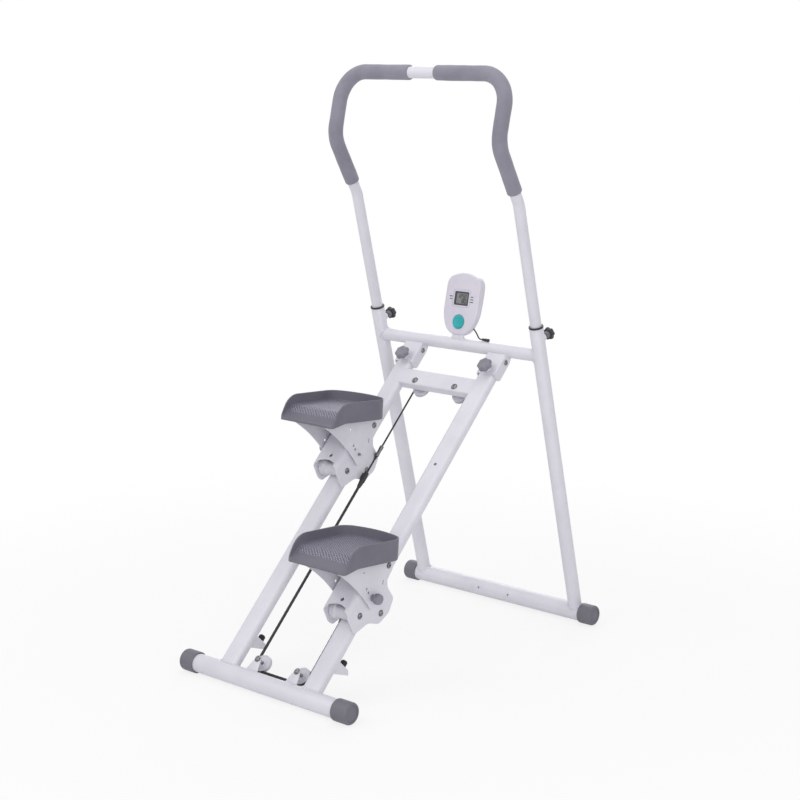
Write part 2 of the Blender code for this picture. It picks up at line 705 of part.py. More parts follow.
def rail(side):
    """A rounded rectangular tube with a half-round end at its pivot and a bumper bracket behind its foot."""
    half_width, half_depth = RAIL_WIDTH / 2, RAIL_DEPTH / 2
    outer = rounded_box(half_width, half_depth, RAIL_CORNER, 4)
    inner = rounded_box(half_width - RAIL_WALL, half_depth - RAIL_WALL, RAIL_CORNER - RAIL_WALL, 4)
    made = end_plate(f"{side}_rail", [outer, inner], 0, PIVOT_T + half_depth, WHITE_PAINT)
    edge = half_depth + GAP
    side_view = [(0, edge), (0, -edge), (PIVOT_T, -edge)] + arc((PIVOT_T, 0), half_depth, -75, 75, 7)
    made = within(made, side_plate("end", [side_view + [(PIVOT_T, edge)]], -half_width * 2, half_width * 2))
    seat = REAR_FACE + RAIL_WALL / 2
    wedge_outline = rounded([(WEDGE_FOOT_T, seat, 0), (BUMPER_T, seat, 0),
                             (BUMPER_T, WEDGE_BACK + WEDGE_CHAMFER, WEDGE_ROUND),
                             (BUMPER_T - WEDGE_CHAMFER, WEDGE_BACK, WEDGE_ROUND)])
    wedge = side_plate("wedge", [wedge_outline], -WEDGE_WIDTH / 2, WEDGE_WIDTH / 2)
    hollow = block("hollow", (SHEET - WEDGE_WIDTH / 2, WEDGE_FOOT_T - DRILL, WEDGE_BACK - DRILL),
                   (WEDGE_WIDTH / 2 - SHEET, BUMPER_T - SHEET, REAR_FACE - SHEET))
    made = join(made, cut(wedge, hollow))
    base = aimed(rod("base", BASE_RADIUS + GAP, -RAIL_WIDTH, RAIL_WIDTH, steps=24), (1, 0, 0))
    pivot = rod("pivot", PIVOT_RADIUS + FIT, -RAIL_WIDTH, RAIL_WIDTH, steps=16)
    pivot = aimed(pivot, (1, 0, 0), (0, PIVOT_T, 0))
    plug = moved(rod("plug", PLUG_RADIUS, 0, RAIL_DEPTH, steps=12), (0, PLUG_T, 0))
    nose = moved(rod("nose", STUD_RADIUS + FIT, 0, RAIL_DEPTH, steps=12), (0, LOCK_T, 0))
    stem = moved(aimed(rod("stem", BUMPER_STEM_RADIUS, -SHEET * 2, SHEET, steps=10), (0, 1, 0)),
                 (0, BUMPER_T, BUMPER_H))
    return place(cut(made, base, pivot, plug, nose, stem), ladder, (SIDES[side] * RAIL_SPACING, 0, 0))


def bumper(side):
    """A rubber stop with its stem in the bracket's hole."""
    radius, stem = BUMPER_RADIUS, BUMPER_STEM_RADIUS - GAP
    profile = [(0, BUMPER_HEIGHT), (radius * 0.7, BUMPER_HEIGHT), (radius, BUMPER_HEIGHT * 0.75),
               (radius, GAP), (stem, GAP), (stem, -SHEET), (0, -SHEET)]
    made = aimed(turned(f"{side}_bumper", profile, RUBBER, steps=18), (0, 1, 0))
    return place(made, ladder, (SIDES[side] * RAIL_SPACING, BUMPER_T, BUMPER_H))


def hinge_bracket(side):
    """A channel welded under the crossbar, round the front and sides of a rail's end."""
    inside = RAIL_WIDTH / 2 + 2 * GAP
    outside = inside + SHEET
    front = RAIL_DEPTH / 2 + GAP
    foot, top = BRACKET_FOOT_T, CROSSBAR_ON_LADDER.y
    back_of_bar = CROSSBAR_ON_LADDER.z - CROSSBAR_RADIUS
    outline = rounded([(foot, front + SHEET, BRACKET_ROUND), (foot, -BRACKET_BACK, BRACKET_ROUND),
                       (PIVOT_T + BRACKET_BACK / 2, -BRACKET_BACK, BRACKET_ROUND), (top, back_of_bar, 0),
                       (top, front + SHEET, 0)], 5)
    made = side_plate(f"{side}_hinge_bracket", [outline], -outside, outside, WHITE_PAINT)
    corner = FIT * 2
    slot = rounded([(-inside, front, corner), (-inside, -DRILL, 0), (inside, -DRILL, 0),
                    (inside, front, corner)])
    made = cut(made, end_plate("slot", [slot], foot - SHEET, top + SHEET))
    nut = rod("nut", NUT_RADIUS, front + SHEET / 2, front + SHEET + NUT_LENGTH, steps=6)
    made = join(made, moved(nut, (0, LOCK_T, 0)))
    bar_cope = rod("cope", CROSSBAR_RADIUS + GAP, -RAIL_WIDTH, RAIL_WIDTH)
    bar_cope = aimed(bar_cope, (1, 0, 0), CROSSBAR_ON_LADDER)
    pivot = rod("pivot", PIVOT_RADIUS + FIT, -RAIL_WIDTH, RAIL_WIDTH, steps=14)
    pivot = aimed(pivot, (1, 0, 0), (0, PIVOT_T, 0))
    thread = moved(rod("thread", STUD_RADIUS + FIT, 0, DRILL, steps=12), (0, LOCK_T, 0))
    return place(cut(made, bar_cope, pivot, thread), ladder, (SIDES[side] * RAIL_SPACING, 0, 0))


def pivot_bolt(side):
    grip = RAIL_WIDTH / 2 + SHEET + 4 * GAP
    made = bolt(f"{side}_pivot_bolt", PIVOT_RADIUS, grip)
    return place(made, ladder, (SIDES[side] * RAIL_SPACING, PIVOT_T, 0))


def lock_knob(side):
    """The grey knob in front of a hinge, its nose in the rail's front wall."""
    tip = RAIL_DEPTH / 2 - RAIL_WALL - LOCK_KNOB_REACH
    made = star_knob(f"{side}_lock_knob", LOCK_KNOB_RADIUS, tip, LOCK_KNOB_BOSS, GREY_PLASTIC)
    return place(made, ladder, (SIDES[side] * RAIL_SPACING, LOCK_T, LOCK_KNOB_REACH))


def pulley_axle(front):
    """A bolt along Z from its head in front, through the pulley, to a nut behind it."""
    back = CABLE_H - PULLEY_WIDTH / 2 - GAP
    shank = rod("axle", AXLE_RADIUS, back - NUT_HEIGHT / 2, front + HEAD_HEIGHT / 3, steps=14)
    nut = rod("nut", HEAD_RADIUS, back - NUT_HEIGHT, back, steps=6)
    return join(shank, moved(head(), (0, 0, front)), nut)


def cross_plate():
    """A channel between the rails, open to the rear, that carries the two upper pulleys' axles."""
    reach = RAIL_SPACING - RAIL_WIDTH / 2 - GAP
    low, high = CROSS_PLATE_T - CROSS_PLATE_HEIGHT / 2, CROSS_PLATE_T + CROSS_PLATE_HEIGHT / 2
    outer = [(low, CROSS_PLATE_BACK, 0), (low, CROSS_PLATE_FRONT, PLATE_BEND),
             (high, CROSS_PLATE_FRONT, PLATE_BEND), (high, CROSS_PLATE_BACK, 0)]
    inside, bend = CROSS_PLATE_FRONT - SHEET, PLATE_BEND - SHEET
    inner = [(high - SHEET, CROSS_PLATE_BACK, 0), (high - SHEET, inside, bend),
             (low + SHEET, inside, bend), (low + SHEET, CROSS_PLATE_BACK, 0)]
    outline = rounded(outer + inner, 3)
    made = side_plate("cross_plate", [outline], -reach, reach, WHITE_PAINT)
    axle_x = CABLE_X - PULLEY_PITCH
    axles = [moved(pulley_axle(CROSS_PLATE_FRONT - GAP), (sign * axle_x, TOP_PULLEY_T, 0))
             for sign in SIDES.values()]
    return place(join(made, *axles), ladder)


def pulley_tab(side):
    """A plate standing on the front base tube, with a lower pulley's axle in its head."""
    outline = ([(-TAB_FOOT, 0), (TAB_FOOT, 0), (TAB_FOOT * 0.8, BASE_RADIUS * 1.2)]
               + arc((0, BOTTOM_PULLEY_T), TAB_HEAD, 0, 180, 9) + [(-TAB_FOOT * 0.8, BASE_RADIUS * 1.2)])
    made = plate(f"{side}_pulley_tab", [outline], -SHEET, 0, WHITE_PAINT)
    made = join(made, moved(pulley_axle(-GAP), (0, BOTTOM_PULLEY_T, 0)))
    cope = aimed(rod("base", BASE_RADIUS + GAP, -TAB_FOOT * 2, TAB_FOOT * 2, steps=24), (1, 0, 0))
    return place(cut(made, cope), ladder, (SIDES[side] * (CABLE_X - PULLEY_PITCH), 0, 0))


def pulley(name, side, along):
    groove = PULLEY_PITCH - ROPE_RADIUS - 2 * FIT
    half, rim = PULLEY_WIDTH / 2, PULLEY_RIM
    bore = AXLE_RADIUS + FIT
    upper = [(bore, half), (PULLEY_RADIUS, half), (PULLEY_RADIUS, half - rim),
             (groove + GROOVE_HALF, half - rim * 1.5), (groove, GROOVE_HALF)]
    made = turned(name, upper + [(r, -z) for r, z in reversed(upper)], WHITE_NYLON, ring=True, steps=14)
    return place(made, ladder, (SIDES[side] * (CABLE_X - PULLEY_PITCH), along, CABLE_H))


def carriage_t(side):
    """How far up the ladder a front axle is at rest: the left pedal is up and the right one down."""
    return TRAVEL_MIDDLE_T - SIDES[side] * REST_OFFSET


def drive_cable():
    """One closed loop round the four pulleys: thick rope below the carriages, thin cable above them."""
    axle_x = CABLE_X - PULLEY_PITCH
    loop = []
    for centre, start in (((axle_x, TOP_PULLEY_T), 0), ((-axle_x, TOP_PULLEY_T), 90),
                          ((-axle_x, BOTTOM_PULLEY_T), 180), ((axle_x, BOTTOM_PULLEY_T), 270)):
        radius = WIRE_RADIUS if centre[1] == TOP_PULLEY_T else ROPE_RADIUS
        loop += [(x, t, radius) for x, t in arc(centre, PULLEY_PITCH, start, start + 90, 5)]
    left, right = (carriage_t(side) + (FERRULE_START + FERRULE_END) / 2 for side in ("left", "right"))
    loop[10:10] = [(-CABLE_X, left + ROPE_TAPER, WIRE_RADIUS), (-CABLE_X, left - ROPE_TAPER, ROPE_RADIUS)]
    loop += [(CABLE_X, right - ROPE_TAPER, ROPE_RADIUS), (CABLE_X, right + ROPE_TAPER, WIRE_RADIUS)]
    made = bar("drive_cable", [(x, t, CABLE_H) for x, t, _ in loop], ROPE_RADIUS, 2, BLACK_ROPE,
               [radius for _, _, radius in loop])
    return place(made, ladder)


for side in SIDES:
    rail(side)
    bumper(side)
    hinge_bracket(side)
    pivot_bolt(side)
    lock_knob(side)
    pulley_tab(side)
    pulley(f"{side}_top_pulley", side, TOP_PULLEY_T)
    pulley(f"{side}_bottom_pulley", side, BOTTOM_PULLEY_T)
cross_plate()
drive_cable()


# Carriages
PLATE_OUTLINE = [(-0.012, WEB_FRONT, 0.012), (-0.0290, 0.027, 0.016), (-0.041, -0.015, 0.007),
                 (0.003, -0.037, 0.030), (0.021, -0.072, 0.020), (0.060, -0.084, 0.030),
                 (0.094, -0.073, 0.012), (0.101, -0.034, 0.026), (0.122, -0.014, 0.022),
                 (0.150, -0.004, 0.007), (0.149, 0.021, 0.012), (0.104, WEB_FRONT, 0.020)]


def carriage_body(side, parent):
    """A channel over the rail: two shaped side plates and a front web with a large bend at each side."""
    inner = PLATE_INSIDE
    back = -DRILL
    outer_u = rounded([(PLATE_OUTSIDE, back, 0), (PLATE_OUTSIDE, WEB_FRONT, WEB_BEND),
                       (-PLATE_OUTSIDE, WEB_FRONT, WEB_BEND), (-PLATE_OUTSIDE, back, 0)], 5)
    inner_u = rounded([(inner, back - SHEET, 0), (inner, WEB_FRONT - SHEET, WEB_BEND - SHEET),
                       (-inner, WEB_FRONT - SHEET, WEB_BEND - SHEET), (-inner, back - SHEET, 0)], 5)
    made = end_plate(f"{side}_carriage_body", [outer_u], -0.05, 0.16, WHITE_PAINT)
    made = cut(made, end_plate("inside", [inner_u], -0.06, 0.17))
    made = within(made, side_plate("outline", [rounded(PLATE_OUTLINE, 3)], -RAIL_WIDTH, RAIL_WIDTH))
    slit = PLATE_INSIDE - CHEEK_SLIT
    right = [(0, ARCH_CROWN, ARCH_ROUND), (ARCH_HALF, ARCH_T, -ARCH_T), (ARCH_HALF, CHEEK_SLIT_T, 0),
             (slit, CHEEK_SLIT_T, 0), (slit, -DRILL, 0)]
    arch = rounded([(-x, t, radius) for x, t, radius in right[:0:-1]] + right)
    made = cut(made, plate("arch", [arch], WEB_FRONT - WEB_BEND, WEB_FRONT + SHEET))
    top = rounded([(-WEB_TOP_HALF, DRILL, 0), (-WEB_TOP_HALF, WEB_TOP_T, WEB_TOP_ROUND),
                   (WEB_TOP_HALF, WEB_TOP_T, WEB_TOP_ROUND), (WEB_TOP_HALF, DRILL, 0)])
    made = cut(made, plate("top", [top], WEB_FRONT - WEB_BEND, WEB_FRONT + SHEET))
    drills = [moved(rod("web_hole", WEB_HOLE_RADIUS, 0, DRILL, steps=12), (0, WEB_HOLE_T, 0))]
    for radius, t, h in ((AXLE_RADIUS, 0, 0), (AXLE_RADIUS, REAR_AXLE_T, -2 * ROLLER_H),
                         (PIN_RADIUS, PIN_T, PIN_H)):
        drill = rod("drill", radius + FIT, -RAIL_WIDTH, RAIL_WIDTH, steps=12)
        drills.append(aimed(drill, (1, 0, 0), (0, t, h)))
    made = cut(made, *drills)
    hinge = moved(bolt("hinge", AXLE_RADIUS, CHEEK_OUTSIDE + 2 * GAP, None), (0, HINGE_T, HINGE_H))
    return place(join(made, hinge), parent)


def axle(name, parent, t, h):
    return place(bolt(name, AXLE_RADIUS, PLATE_OUTSIDE + 2 * GAP), parent, (0, t, h))


def roller(name, parent, t, h):
    """A diabolo roller whose flanks follow the rail's rounded corners."""
    bore = AXLE_RADIUS + FIT
    shoulder = RAIL_CORNER + ROLLER_WAIST
    waist = []
    for step in range(3):
        end = (shoulder - ROLLER_END) / RAIL_CORNER
        reach = RAIL_CORNER * math.sin(math.acos(end) * step / 2)
        waist.append((shoulder - math.sqrt(RAIL_CORNER ** 2 - reach ** 2), ROLLER_FLAT + reach + GAP))
    upper = [(ROLLER_END - CHAMFER * 2, ROLLER_HALF), (ROLLER_END, ROLLER_HALF - CHAMFER * 2)] + waist[::-1]
    half = [(bore, ROLLER_HALF)] + upper
    profile = half + [(radius, -x) for radius, x in reversed(half)]
    made = aimed(turned(name, profile, WHITE_NYLON, ring=True, steps=14), (1, 0, 0))
    return place(made, parent, (0, t, h))


def cable_ferrule(side, parent):
    """The black end of the rope, with the lug that bolts it to the carriage's inner plate."""
    inward = -SIDES[side]
    made = pipe(f"{side}_cable_ferrule", FERRULE_RADIUS, ROPE_RADIUS + FIT, FERRULE_START, FERRULE_END,
                BLACK_PLASTIC, 14)
    made = aimed(made, (0, 1, 0), (inward * CABLE_OFFSET, 0, CABLE_H - ROLLER_H))
    wall = FERRULE_RADIUS - ROPE_RADIUS - FIT
    sizes = sorted((inward * (PLATE_OUTSIDE + GAP), inward * (CABLE_OFFSET - FERRULE_RADIUS + wall / 2)))
    height = CABLE_H - ROLLER_H
    lug = block("lug", (sizes[0], LUG_START, height - LUG_HALF),
                (sizes[1], FERRULE_END - LUG_HALF, height + LUG_HALF))
    return place(join(made, lug), parent)


def cable_eye(side, parent):
    """The steel eye bolted to the inner plate, and the sleeve that the upper cable comes out of."""
    inward = -SIDES[side]
    made = aimed(head(EYE_HEIGHT, EYE_RADIUS, STEEL, f"{side}_cable_eye"), (inward, 0, 0),
                 (inward * (PLATE_OUTSIDE + GAP), EYE_T, EYE_H))
    bore = ROPE_RADIUS + FIT
    sleeve = aimed(pipe("sleeve", bore + EYE_WALL, bore, EYE_T, EYE_T + EYE_LENGTH, steps=12),
                   (0, 1, 0), (inward * CABLE_OFFSET, 0, CABLE_H - ROLLER_H))
    sizes = sorted((inward * (PLATE_OUTSIDE + EYE_WALL), inward * (CABLE_OFFSET - bore - EYE_WALL / 2)))
    lug = block("lug", (sizes[0], EYE_T + CHAMFER, EYE_H + EYE_HEIGHT),
                (sizes[1], EYE_T + EYE_LUG_LENGTH, CABLE_H - ROLLER_H + EYE_HEIGHT))
    return place(join(made, sleeve, lug), parent)


def level(t, h):
    """A point given on the ladder from the front axle, seen in the level pedal's (y, z) from its hinge."""
    t, h = t - HINGE_T, h - HINGE_H
    return t * cos - h * sin, t * sin + h * cos


def pedal_bracket(side, parent):
    """Two cheeks outside the carriage's plates, hanging from a plate under the tray."""
    def under_tray(y, drop=GAP):
        return y, TRAY_RISE - y * math.tan(TRAY_TILT) - drop

    lip, hollow, tip = CHEEK_LIP, CHEEK_HOLLOW, Vector(level(CHEEK_TIP_T, CHEEK_TIP_H))
    shares = (0.2, 0.4, 0.6, 0.8, 1)
    front = [tuple(lip * (1 - s) ** 2 + hollow * 2 * s * (1 - s) + tip * s * s) for s in shares]
    rear = rounded([under_tray(CHEEK_TOE_Y) + (0,), (CHEEK_TOE_Y, CHEEK_TOE_Z, CHEEK_TOE_ROUND),
                    level(CHEEK_HEEL_T, CHEEK_EDGE_H) + (CHEEK_HEEL_ROUND,),
                    level(CHEEK_FOOT_T, CHEEK_TIP_H) + (CHEEK_TIP_ROUND,),
                    level(CHEEK_TIP_T - SHEET, CHEEK_EDGE_H - SHEET) + (CHEEK_TIP_ROUND,),
                    tuple(lip) + (0,)], 3)[:-1]
    outline = rear + front[::-1] + [tuple(lip), under_tray(TRAY_HEEL + TRAY_APRON * 1.2)]
    made = side_plate(f"{side}_pedal_bracket", [outline], -CHEEK_OUTSIDE, CHEEK_OUTSIDE, WHITE_PAINT)
    between = [under_tray(-DRILL * 2, SHEET), (-DRILL * 2, -DRILL), (DRILL, -DRILL),
               under_tray(DRILL, SHEET)]
    made = cut(made, side_plate("between", [between], -CHEEK_INSIDE, CHEEK_INSIDE))
    pin_y, pin_z = level(PIN_T, PIN_H)
    holes = [(AXLE_RADIUS + FIT, 0, 0), (PIN_RADIUS + FIT, pin_y, pin_z),
             (INDEX_RADIUS, *level(SPARE_HOLE_T, SPARE_HOLE_H))]
    reach = math.hypot(pin_y, pin_z)
    holes += [(INDEX_RADIUS, *(Matrix.Rotation(LADDER_ANGLE + math.radians(a), 2) @ Vector((reach, 0))))
              for a in INDEX_ANGLES]
    drills = [aimed(rod("drill", radius, -RAIL_WIDTH, RAIL_WIDTH, steps=10), (1, 0, 0), (0, y, z))
              for radius, y, z in holes]
    half_way = PIN_RADIUS + FIT
    way = [level(PIN_T - half_way, PIN_H), level(PIN_T - half_way, PIN_H - PIN_WAY),
           level(PIN_T + half_way + PIN_WAY_FLARE, PIN_H - PIN_WAY), level(PIN_T + half_way, PIN_H)]
    drills.append(side_plate("way", [way], -RAIL_WIDTH, RAIL_WIDTH))
    return place(cut(made, *drills), parent)


def pedal_tray(side, parent):
    """A moulded tray, ribbed underneath, with a wall round toe and sides and an apron at its heel."""
    def outline(inset, heel):
        toe_half = TRAY_HALF_WIDTH - inset
        heel_half = toe_half - (TRAY_SHOULDER - heel) * TRAY_TAPER
        corner = TRAY_CORNER - inset
        shoulder = TRAY_SHOULDER - inset * 0.4
        return rounded([(-heel_half, heel, TRAY_HEEL_ROUND), (heel_half, heel, TRAY_HEEL_ROUND),
                        (toe_half, shoulder, corner), (0, TRAY_TOE - inset, TRAY_CORNER * 5),
                        (-toe_half, shoulder, corner)], 5)

    def apron(skin):
        """The deck's side view from its toe to its heel, or that of the hollow this far under it."""
        heel = TRAY_HEEL + skin / 2
        return [(DRILL, TRAY_FLOOR - skin, 0), (heel + TRAY_APRON, TRAY_FLOOR - skin, APRON_ROUND),
                (heel + APRON_EASE, APRON_FOOT - skin, APRON_ROUND / 2),
                (heel - TRAY_APRON, APRON_FOOT - CHAMFER - skin, 0)]

    made = plate(f"{side}_pedal_tray", [outline(0, TRAY_HEEL)], -TRAY_LIP, TRAY_HEIGHT, TRAY_PLASTIC)
    foot = plate("foot", [outline(TRAY_WALL, TRAY_HEEL - TRAY_APRON)], -DRILL, DRILL)
    over_deck = rounded(apron(0) + [(TRAY_HEEL - TRAY_APRON, DRILL * 2, 0), (DRILL, DRILL * 2, 0)], 4)
    steep = (TRAY_HEIGHT - RIM_HEEL_Z) / TRAY_RIM_REACH
    past = TRAY_HEEL - TRAY_LIP
    below = RIM_HEEL_Z - TRAY_LIP * steep
    along = TRAY_HEEL + RIM_ROUND * 1.6
    rim = rounded([(past, below, 0), (TRAY_HEEL + TRAY_RIM_REACH, TRAY_HEIGHT, RIM_ROUND),
                   (along, TRAY_HEIGHT + GAP, 0), (along, DRILL, 0), (TRAY_HEEL - RIM_ROUND, DRILL, 0),
                   (TRAY_HEEL - RIM_ROUND, below, 0)], 7)
    sole = rounded([(DRILL, 0, 0), (TRAY_HEEL + TRAY_APRON, 0, RIM_ROUND),
                    (TRAY_HEEL + APRON_EASE, CHAMFER - TRAY_LIP, RIM_ROUND / 2),
                    (TRAY_HEEL - RIM_ROUND, -TRAY_LIP, 0), (TRAY_HEEL - RIM_ROUND, -DRILL, 0),
                    (DRILL, -DRILL, 0)], 4)
    made = cut(made, within(foot, side_plate("over_deck", [over_deck], -DRILL, DRILL)),
               side_plate("rim", [rim], -DRILL, DRILL), side_plate("sole", [sole], -DRILL, DRILL))
    edge = made.modifiers.new("Edge", "BEVEL")
    edge.width = CHAMFER
    edge.segments = 1
    edge.limit_method = "ANGLE"
    edge.angle_limit = math.radians(60)
    hollow = plate("hollow", [outline(TRAY_WALL, TRAY_HEEL + TRAY_WALL * 5)], -DRILL, DRILL)
    below_all = [(TRAY_HEEL - TRAY_APRON, -DRILL * 2, 0), (DRILL, -DRILL * 2, 0)]
    under_deck = rounded(apron(TRAY_WALL) + below_all, 4)
    ribs = [block("rib", (x - TRAY_WALL / 2, -DRILL * 2, -DRILL * 2), (x + TRAY_WALL / 2, DRILL * 2, DRILL))
            for x in (-TRAY_RIB_X, TRAY_RIB_X)]
    hollow = cut(within(hollow, side_plate("under_deck", [under_deck], -DRILL, DRILL)), *ribs)
    return place(cut(mesh_of(made), hollow), parent, (0, 0, TRAY_RISE), (-TRAY_TILT, 0, 0))


def pull_pin(side, parent):
    """The grey ball knob outside the carriage and its pin, which runs through both cheeks and plates."""
    start = CHEEK_OUTSIDE + GAP
    knob = start + PIN_COLLAR_LENGTH
    end = knob + PIN_KNOB_LENGTH
    ball = PIN_KNOB_ROUND
    profile = [(0, end), (PIN_KNOB_RADIUS - ball, end), (PIN_KNOB_RADIUS, end - ball),
               (PIN_KNOB_RADIUS, knob + ball / 2), (PIN_KNOB_RADIUS - ball / 2, knob),
               (PIN_COLLAR_RADIUS, knob), (PIN_COLLAR_RADIUS, start), (PIN_RADIUS, start),
               (PIN_RADIUS, CHAMFER - CHEEK_OUTSIDE - PIN_TIP), (PIN_RADIUS * 0.6, -CHEEK_OUTSIDE - PIN_TIP),
               (0, -CHEEK_OUTSIDE - PIN_TIP)]
    made = aimed(turned(f"{side}_pull_pin", profile, GREY_PLASTIC, steps=14), (SIDES[side], 0, 0))
    return place(made, parent, (0, PIN_T, PIN_H))


for side in SIDES:
    carriage = empty(f"{side}_carriage", (SIDES[side] * RAIL_SPACING, carriage_t(side), ROLLER_H), ladder)
    carriage_body(side, carriage)
    axle(f"{side}_front_axle", carriage, 0, 0)
    axle(f"{side}_rear_axle", carriage, REAR_AXLE_T, -2 * ROLLER_H)
    roller(f"{side}_front_roller", carriage, 0, 0)
    roller(f"{side}_rear_roller", carriage, REAR_AXLE_T, -2 * ROLLER_H)
    cable_ferrule(side, carriage)
    cable_eye(side, carriage)
    pull_pin(side, carriage)
    pedal = empty(f"{side}_pedal", (0, HINGE_T, HINGE_H), carriage, -LADDER_ANGLE)
    pedal_bracket(side, pedal)
    pedal_tray(side, pedal)

# Console, on its own axes: z up its face and y into it
console = empty("console", CROSSBAR_CENTRE, None, -CONSOLE_LEAN)
FACE = -CONSOLE_DEPTH / 2
NECK_CENTRE = Vector((0, FACE + CONSOLE_FOOT_DEPTH / 2, 0))
LEAD_OUTLET = Vector((LEAD_OUTLET_X, 0, CONSOLE_RISE + LEAD_OUTLET_RISE))
LEAD_OUTLET_WAY = Vector((0.8, 0, -0.6))


def console_housing():
    """A case with a broad arched top and a thinner, rounder foot, and two recesses in its face."""
    half, top = CONSOLE_WIDTH / 2, CONSOLE_HEIGHT
    right = [(half * 0.61, 0, CONSOLE_FOOT_ROUND), (half, CONSOLE_FLANK_Z, CONSOLE_FLANK_ROUND),
             (half * 0.965, top - CONSOLE_SHOULDER_DROP, CONSOLE_SHOULDER_ROUND)]
    corners = right + [(0, top + CONSOLE_CROWN, CONSOLE_CROWN_ROUND)]
    corners += [(-x, z, radius) for x, z, radius in reversed(right)]
    outline = rounded([(x, CONSOLE_RISE + z, radius) for x, z, radius in corners])
    made = end_plate("console_housing", [outline], FACE, -FACE, WHITE_HOUSING)
    foot, thick = CONSOLE_RISE - CHAMFER * 10, CONSOLE_RISE + CONSOLE_THICK_RISE
    behind = [(FACE + CONSOLE_FOOT_DEPTH, foot), (CHAMFER - FACE, thick), (DRILL, thick), (DRILL, foot)]
    made = cut(made, side_plate("behind", [behind], -CONSOLE_WIDTH, CONSOLE_WIDTH))
    edge = made.modifiers.new("Edge", "BEVEL")
    edge.width = CONSOLE_EDGE
    edge.segments = 1
    edge.limit_method = "ANGLE"
    edge.angle_limit = math.radians(60)
    made = mesh_of(made)
    window = rounded_box(SCREEN_WIDTH / 2 + GAP, SCREEN_HEIGHT / 2 + GAP, SCREEN_CORNER, 3)
    recess = end_plate("window", [window], FACE - SHEET, FACE + SCREEN_RECESS + SHEET)
    well = aimed(rod("well", BUTTON_RADIUS + FIT, FACE + BUTTON_RECESS, FACE - SHEET), (0, 1, 0),
                 (0, 0, BUTTON_RISE))
    neck = rounded_box(NECK_HALF_WIDTH + GAP, NECK_HALF_DEPTH + GAP, NECK_ROUND, 3)
    socket = plate("socket", [neck], 0, CONSOLE_RISE + NECK_IN_CASE + CHAMFER)
    outlet = rod("outlet", LEAD_RADIUS + FIT, -LEAD_RADIUS, DRILL, steps=10)
    cutting = [moved(recess, (0, 0, SCREEN_RISE)), well, moved(socket, NECK_CENTRE),
               aimed(outlet, LEAD_OUTLET_WAY, LEAD_OUTLET)]
    return place(cut(made, *cutting), console)


def console_screen():
    window = rounded_box(SCREEN_WIDTH / 2, SCREEN_HEIGHT / 2, SCREEN_CORNER, 3)
    made = end_plate("console_screen", [window], FACE + SCREEN_RECESS, FACE + SCREEN_RECESS + SHEET - GAP,
                     SCREEN_GLASS)
    return place(made, console, (0, 0, SCREEN_RISE))


def console_button():
    face, back = BUTTON_PROUD, BUTTON_TRAVEL - BUTTON_RECESS
    profile = [(0, face), (BUTTON_RADIUS * 0.8, face), (BUTTON_RADIUS, 0), (BUTTON_RADIUS, back), (0, back)]
    made = turned("console_button", profile, TEAL, steps=24)
    return place(aimed(made, (0, -1, 0)), console, (0, FACE, BUTTON_RISE))


def console_post():
    """The flat neck welded to the crossbar that the console is pushed on to."""
    neck = rounded_box(NECK_HALF_WIDTH, NECK_HALF_DEPTH, NECK_ROUND - GAP, 3)
    made = plate("console_post", [neck], 0, CONSOLE_RISE + NECK_IN_CASE, WHITE_PAINT)
    cope = aimed(rod("cope", CROSSBAR_RADIUS + GAP, -NECK_HALF_WIDTH * 2, NECK_HALF_WIDTH * 2), (1, 0, 0))
    return place(cut(moved(made, NECK_CENTRE), cope), console)


def lead_connector():
    """A small plug lying on the crossbar, with an elbow into it."""
    radius = CONNECTOR_RADIUS
    made = aimed(rod("lead_connector", radius, 0, CONNECTOR_LENGTH, BLACK_PLASTIC, 14), (1, 0, 0),
                 (0, 0, CROSSBAR_RADIUS + GAP + radius))
    inside = CROSSBAR_RADIUS - 2 * CROSSBAR_WALL
    elbow = rod("elbow", radius - FIT, inside, CROSSBAR_RADIUS + radius, steps=12)
    made = join(made, moved(elbow, (CONNECTOR_LENGTH - radius, 0, 0)))
    return place(made, None, CROSSBAR_CENTRE + Vector((CONNECTOR_X, 0, 0)))


def console_lead():
    """The black lead from the console's lower right to the connector."""
    end = CROSSBAR_CENTRE + Vector((CONNECTOR_X - GAP, 0, CROSSBAR_RADIUS + GAP + CONNECTOR_RADIUS))
    lean = Matrix.Rotation(-CONSOLE_LEAN, 3, "X")
    start, out = (CROSSBAR_CENTRE + lean @ (LEAD_OUTLET + LEAD_OUTLET_WAY * reach)
                  for reach in (0, LEAD_STRAIGHT))
    points = [start, out, out + Vector((0.0080, 0, -0.0085)), end + Vector((-0.0090, 0.0003, 0.0007)), end]
    return bar("console_lead", points, LEAD_RADIUS, 2, BLACK_ROPE)


console_housing()
console_screen()
console_button()
console_post()
lead_connector()
console_lead()
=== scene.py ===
"""A folding stair stepper dressed for its photograph: two telescoping legs with a foam-gripped handlebar,
and a hinged ladder whose two pedal carriages hang on one cable. Every shape is a grid of points worked out
with numpy. Metres; +X is the user's right, +Y points from the user to the rear base, +Z is up.
"""

import json

import bmesh
import bpy
import numpy as np
from mathutils import Matrix


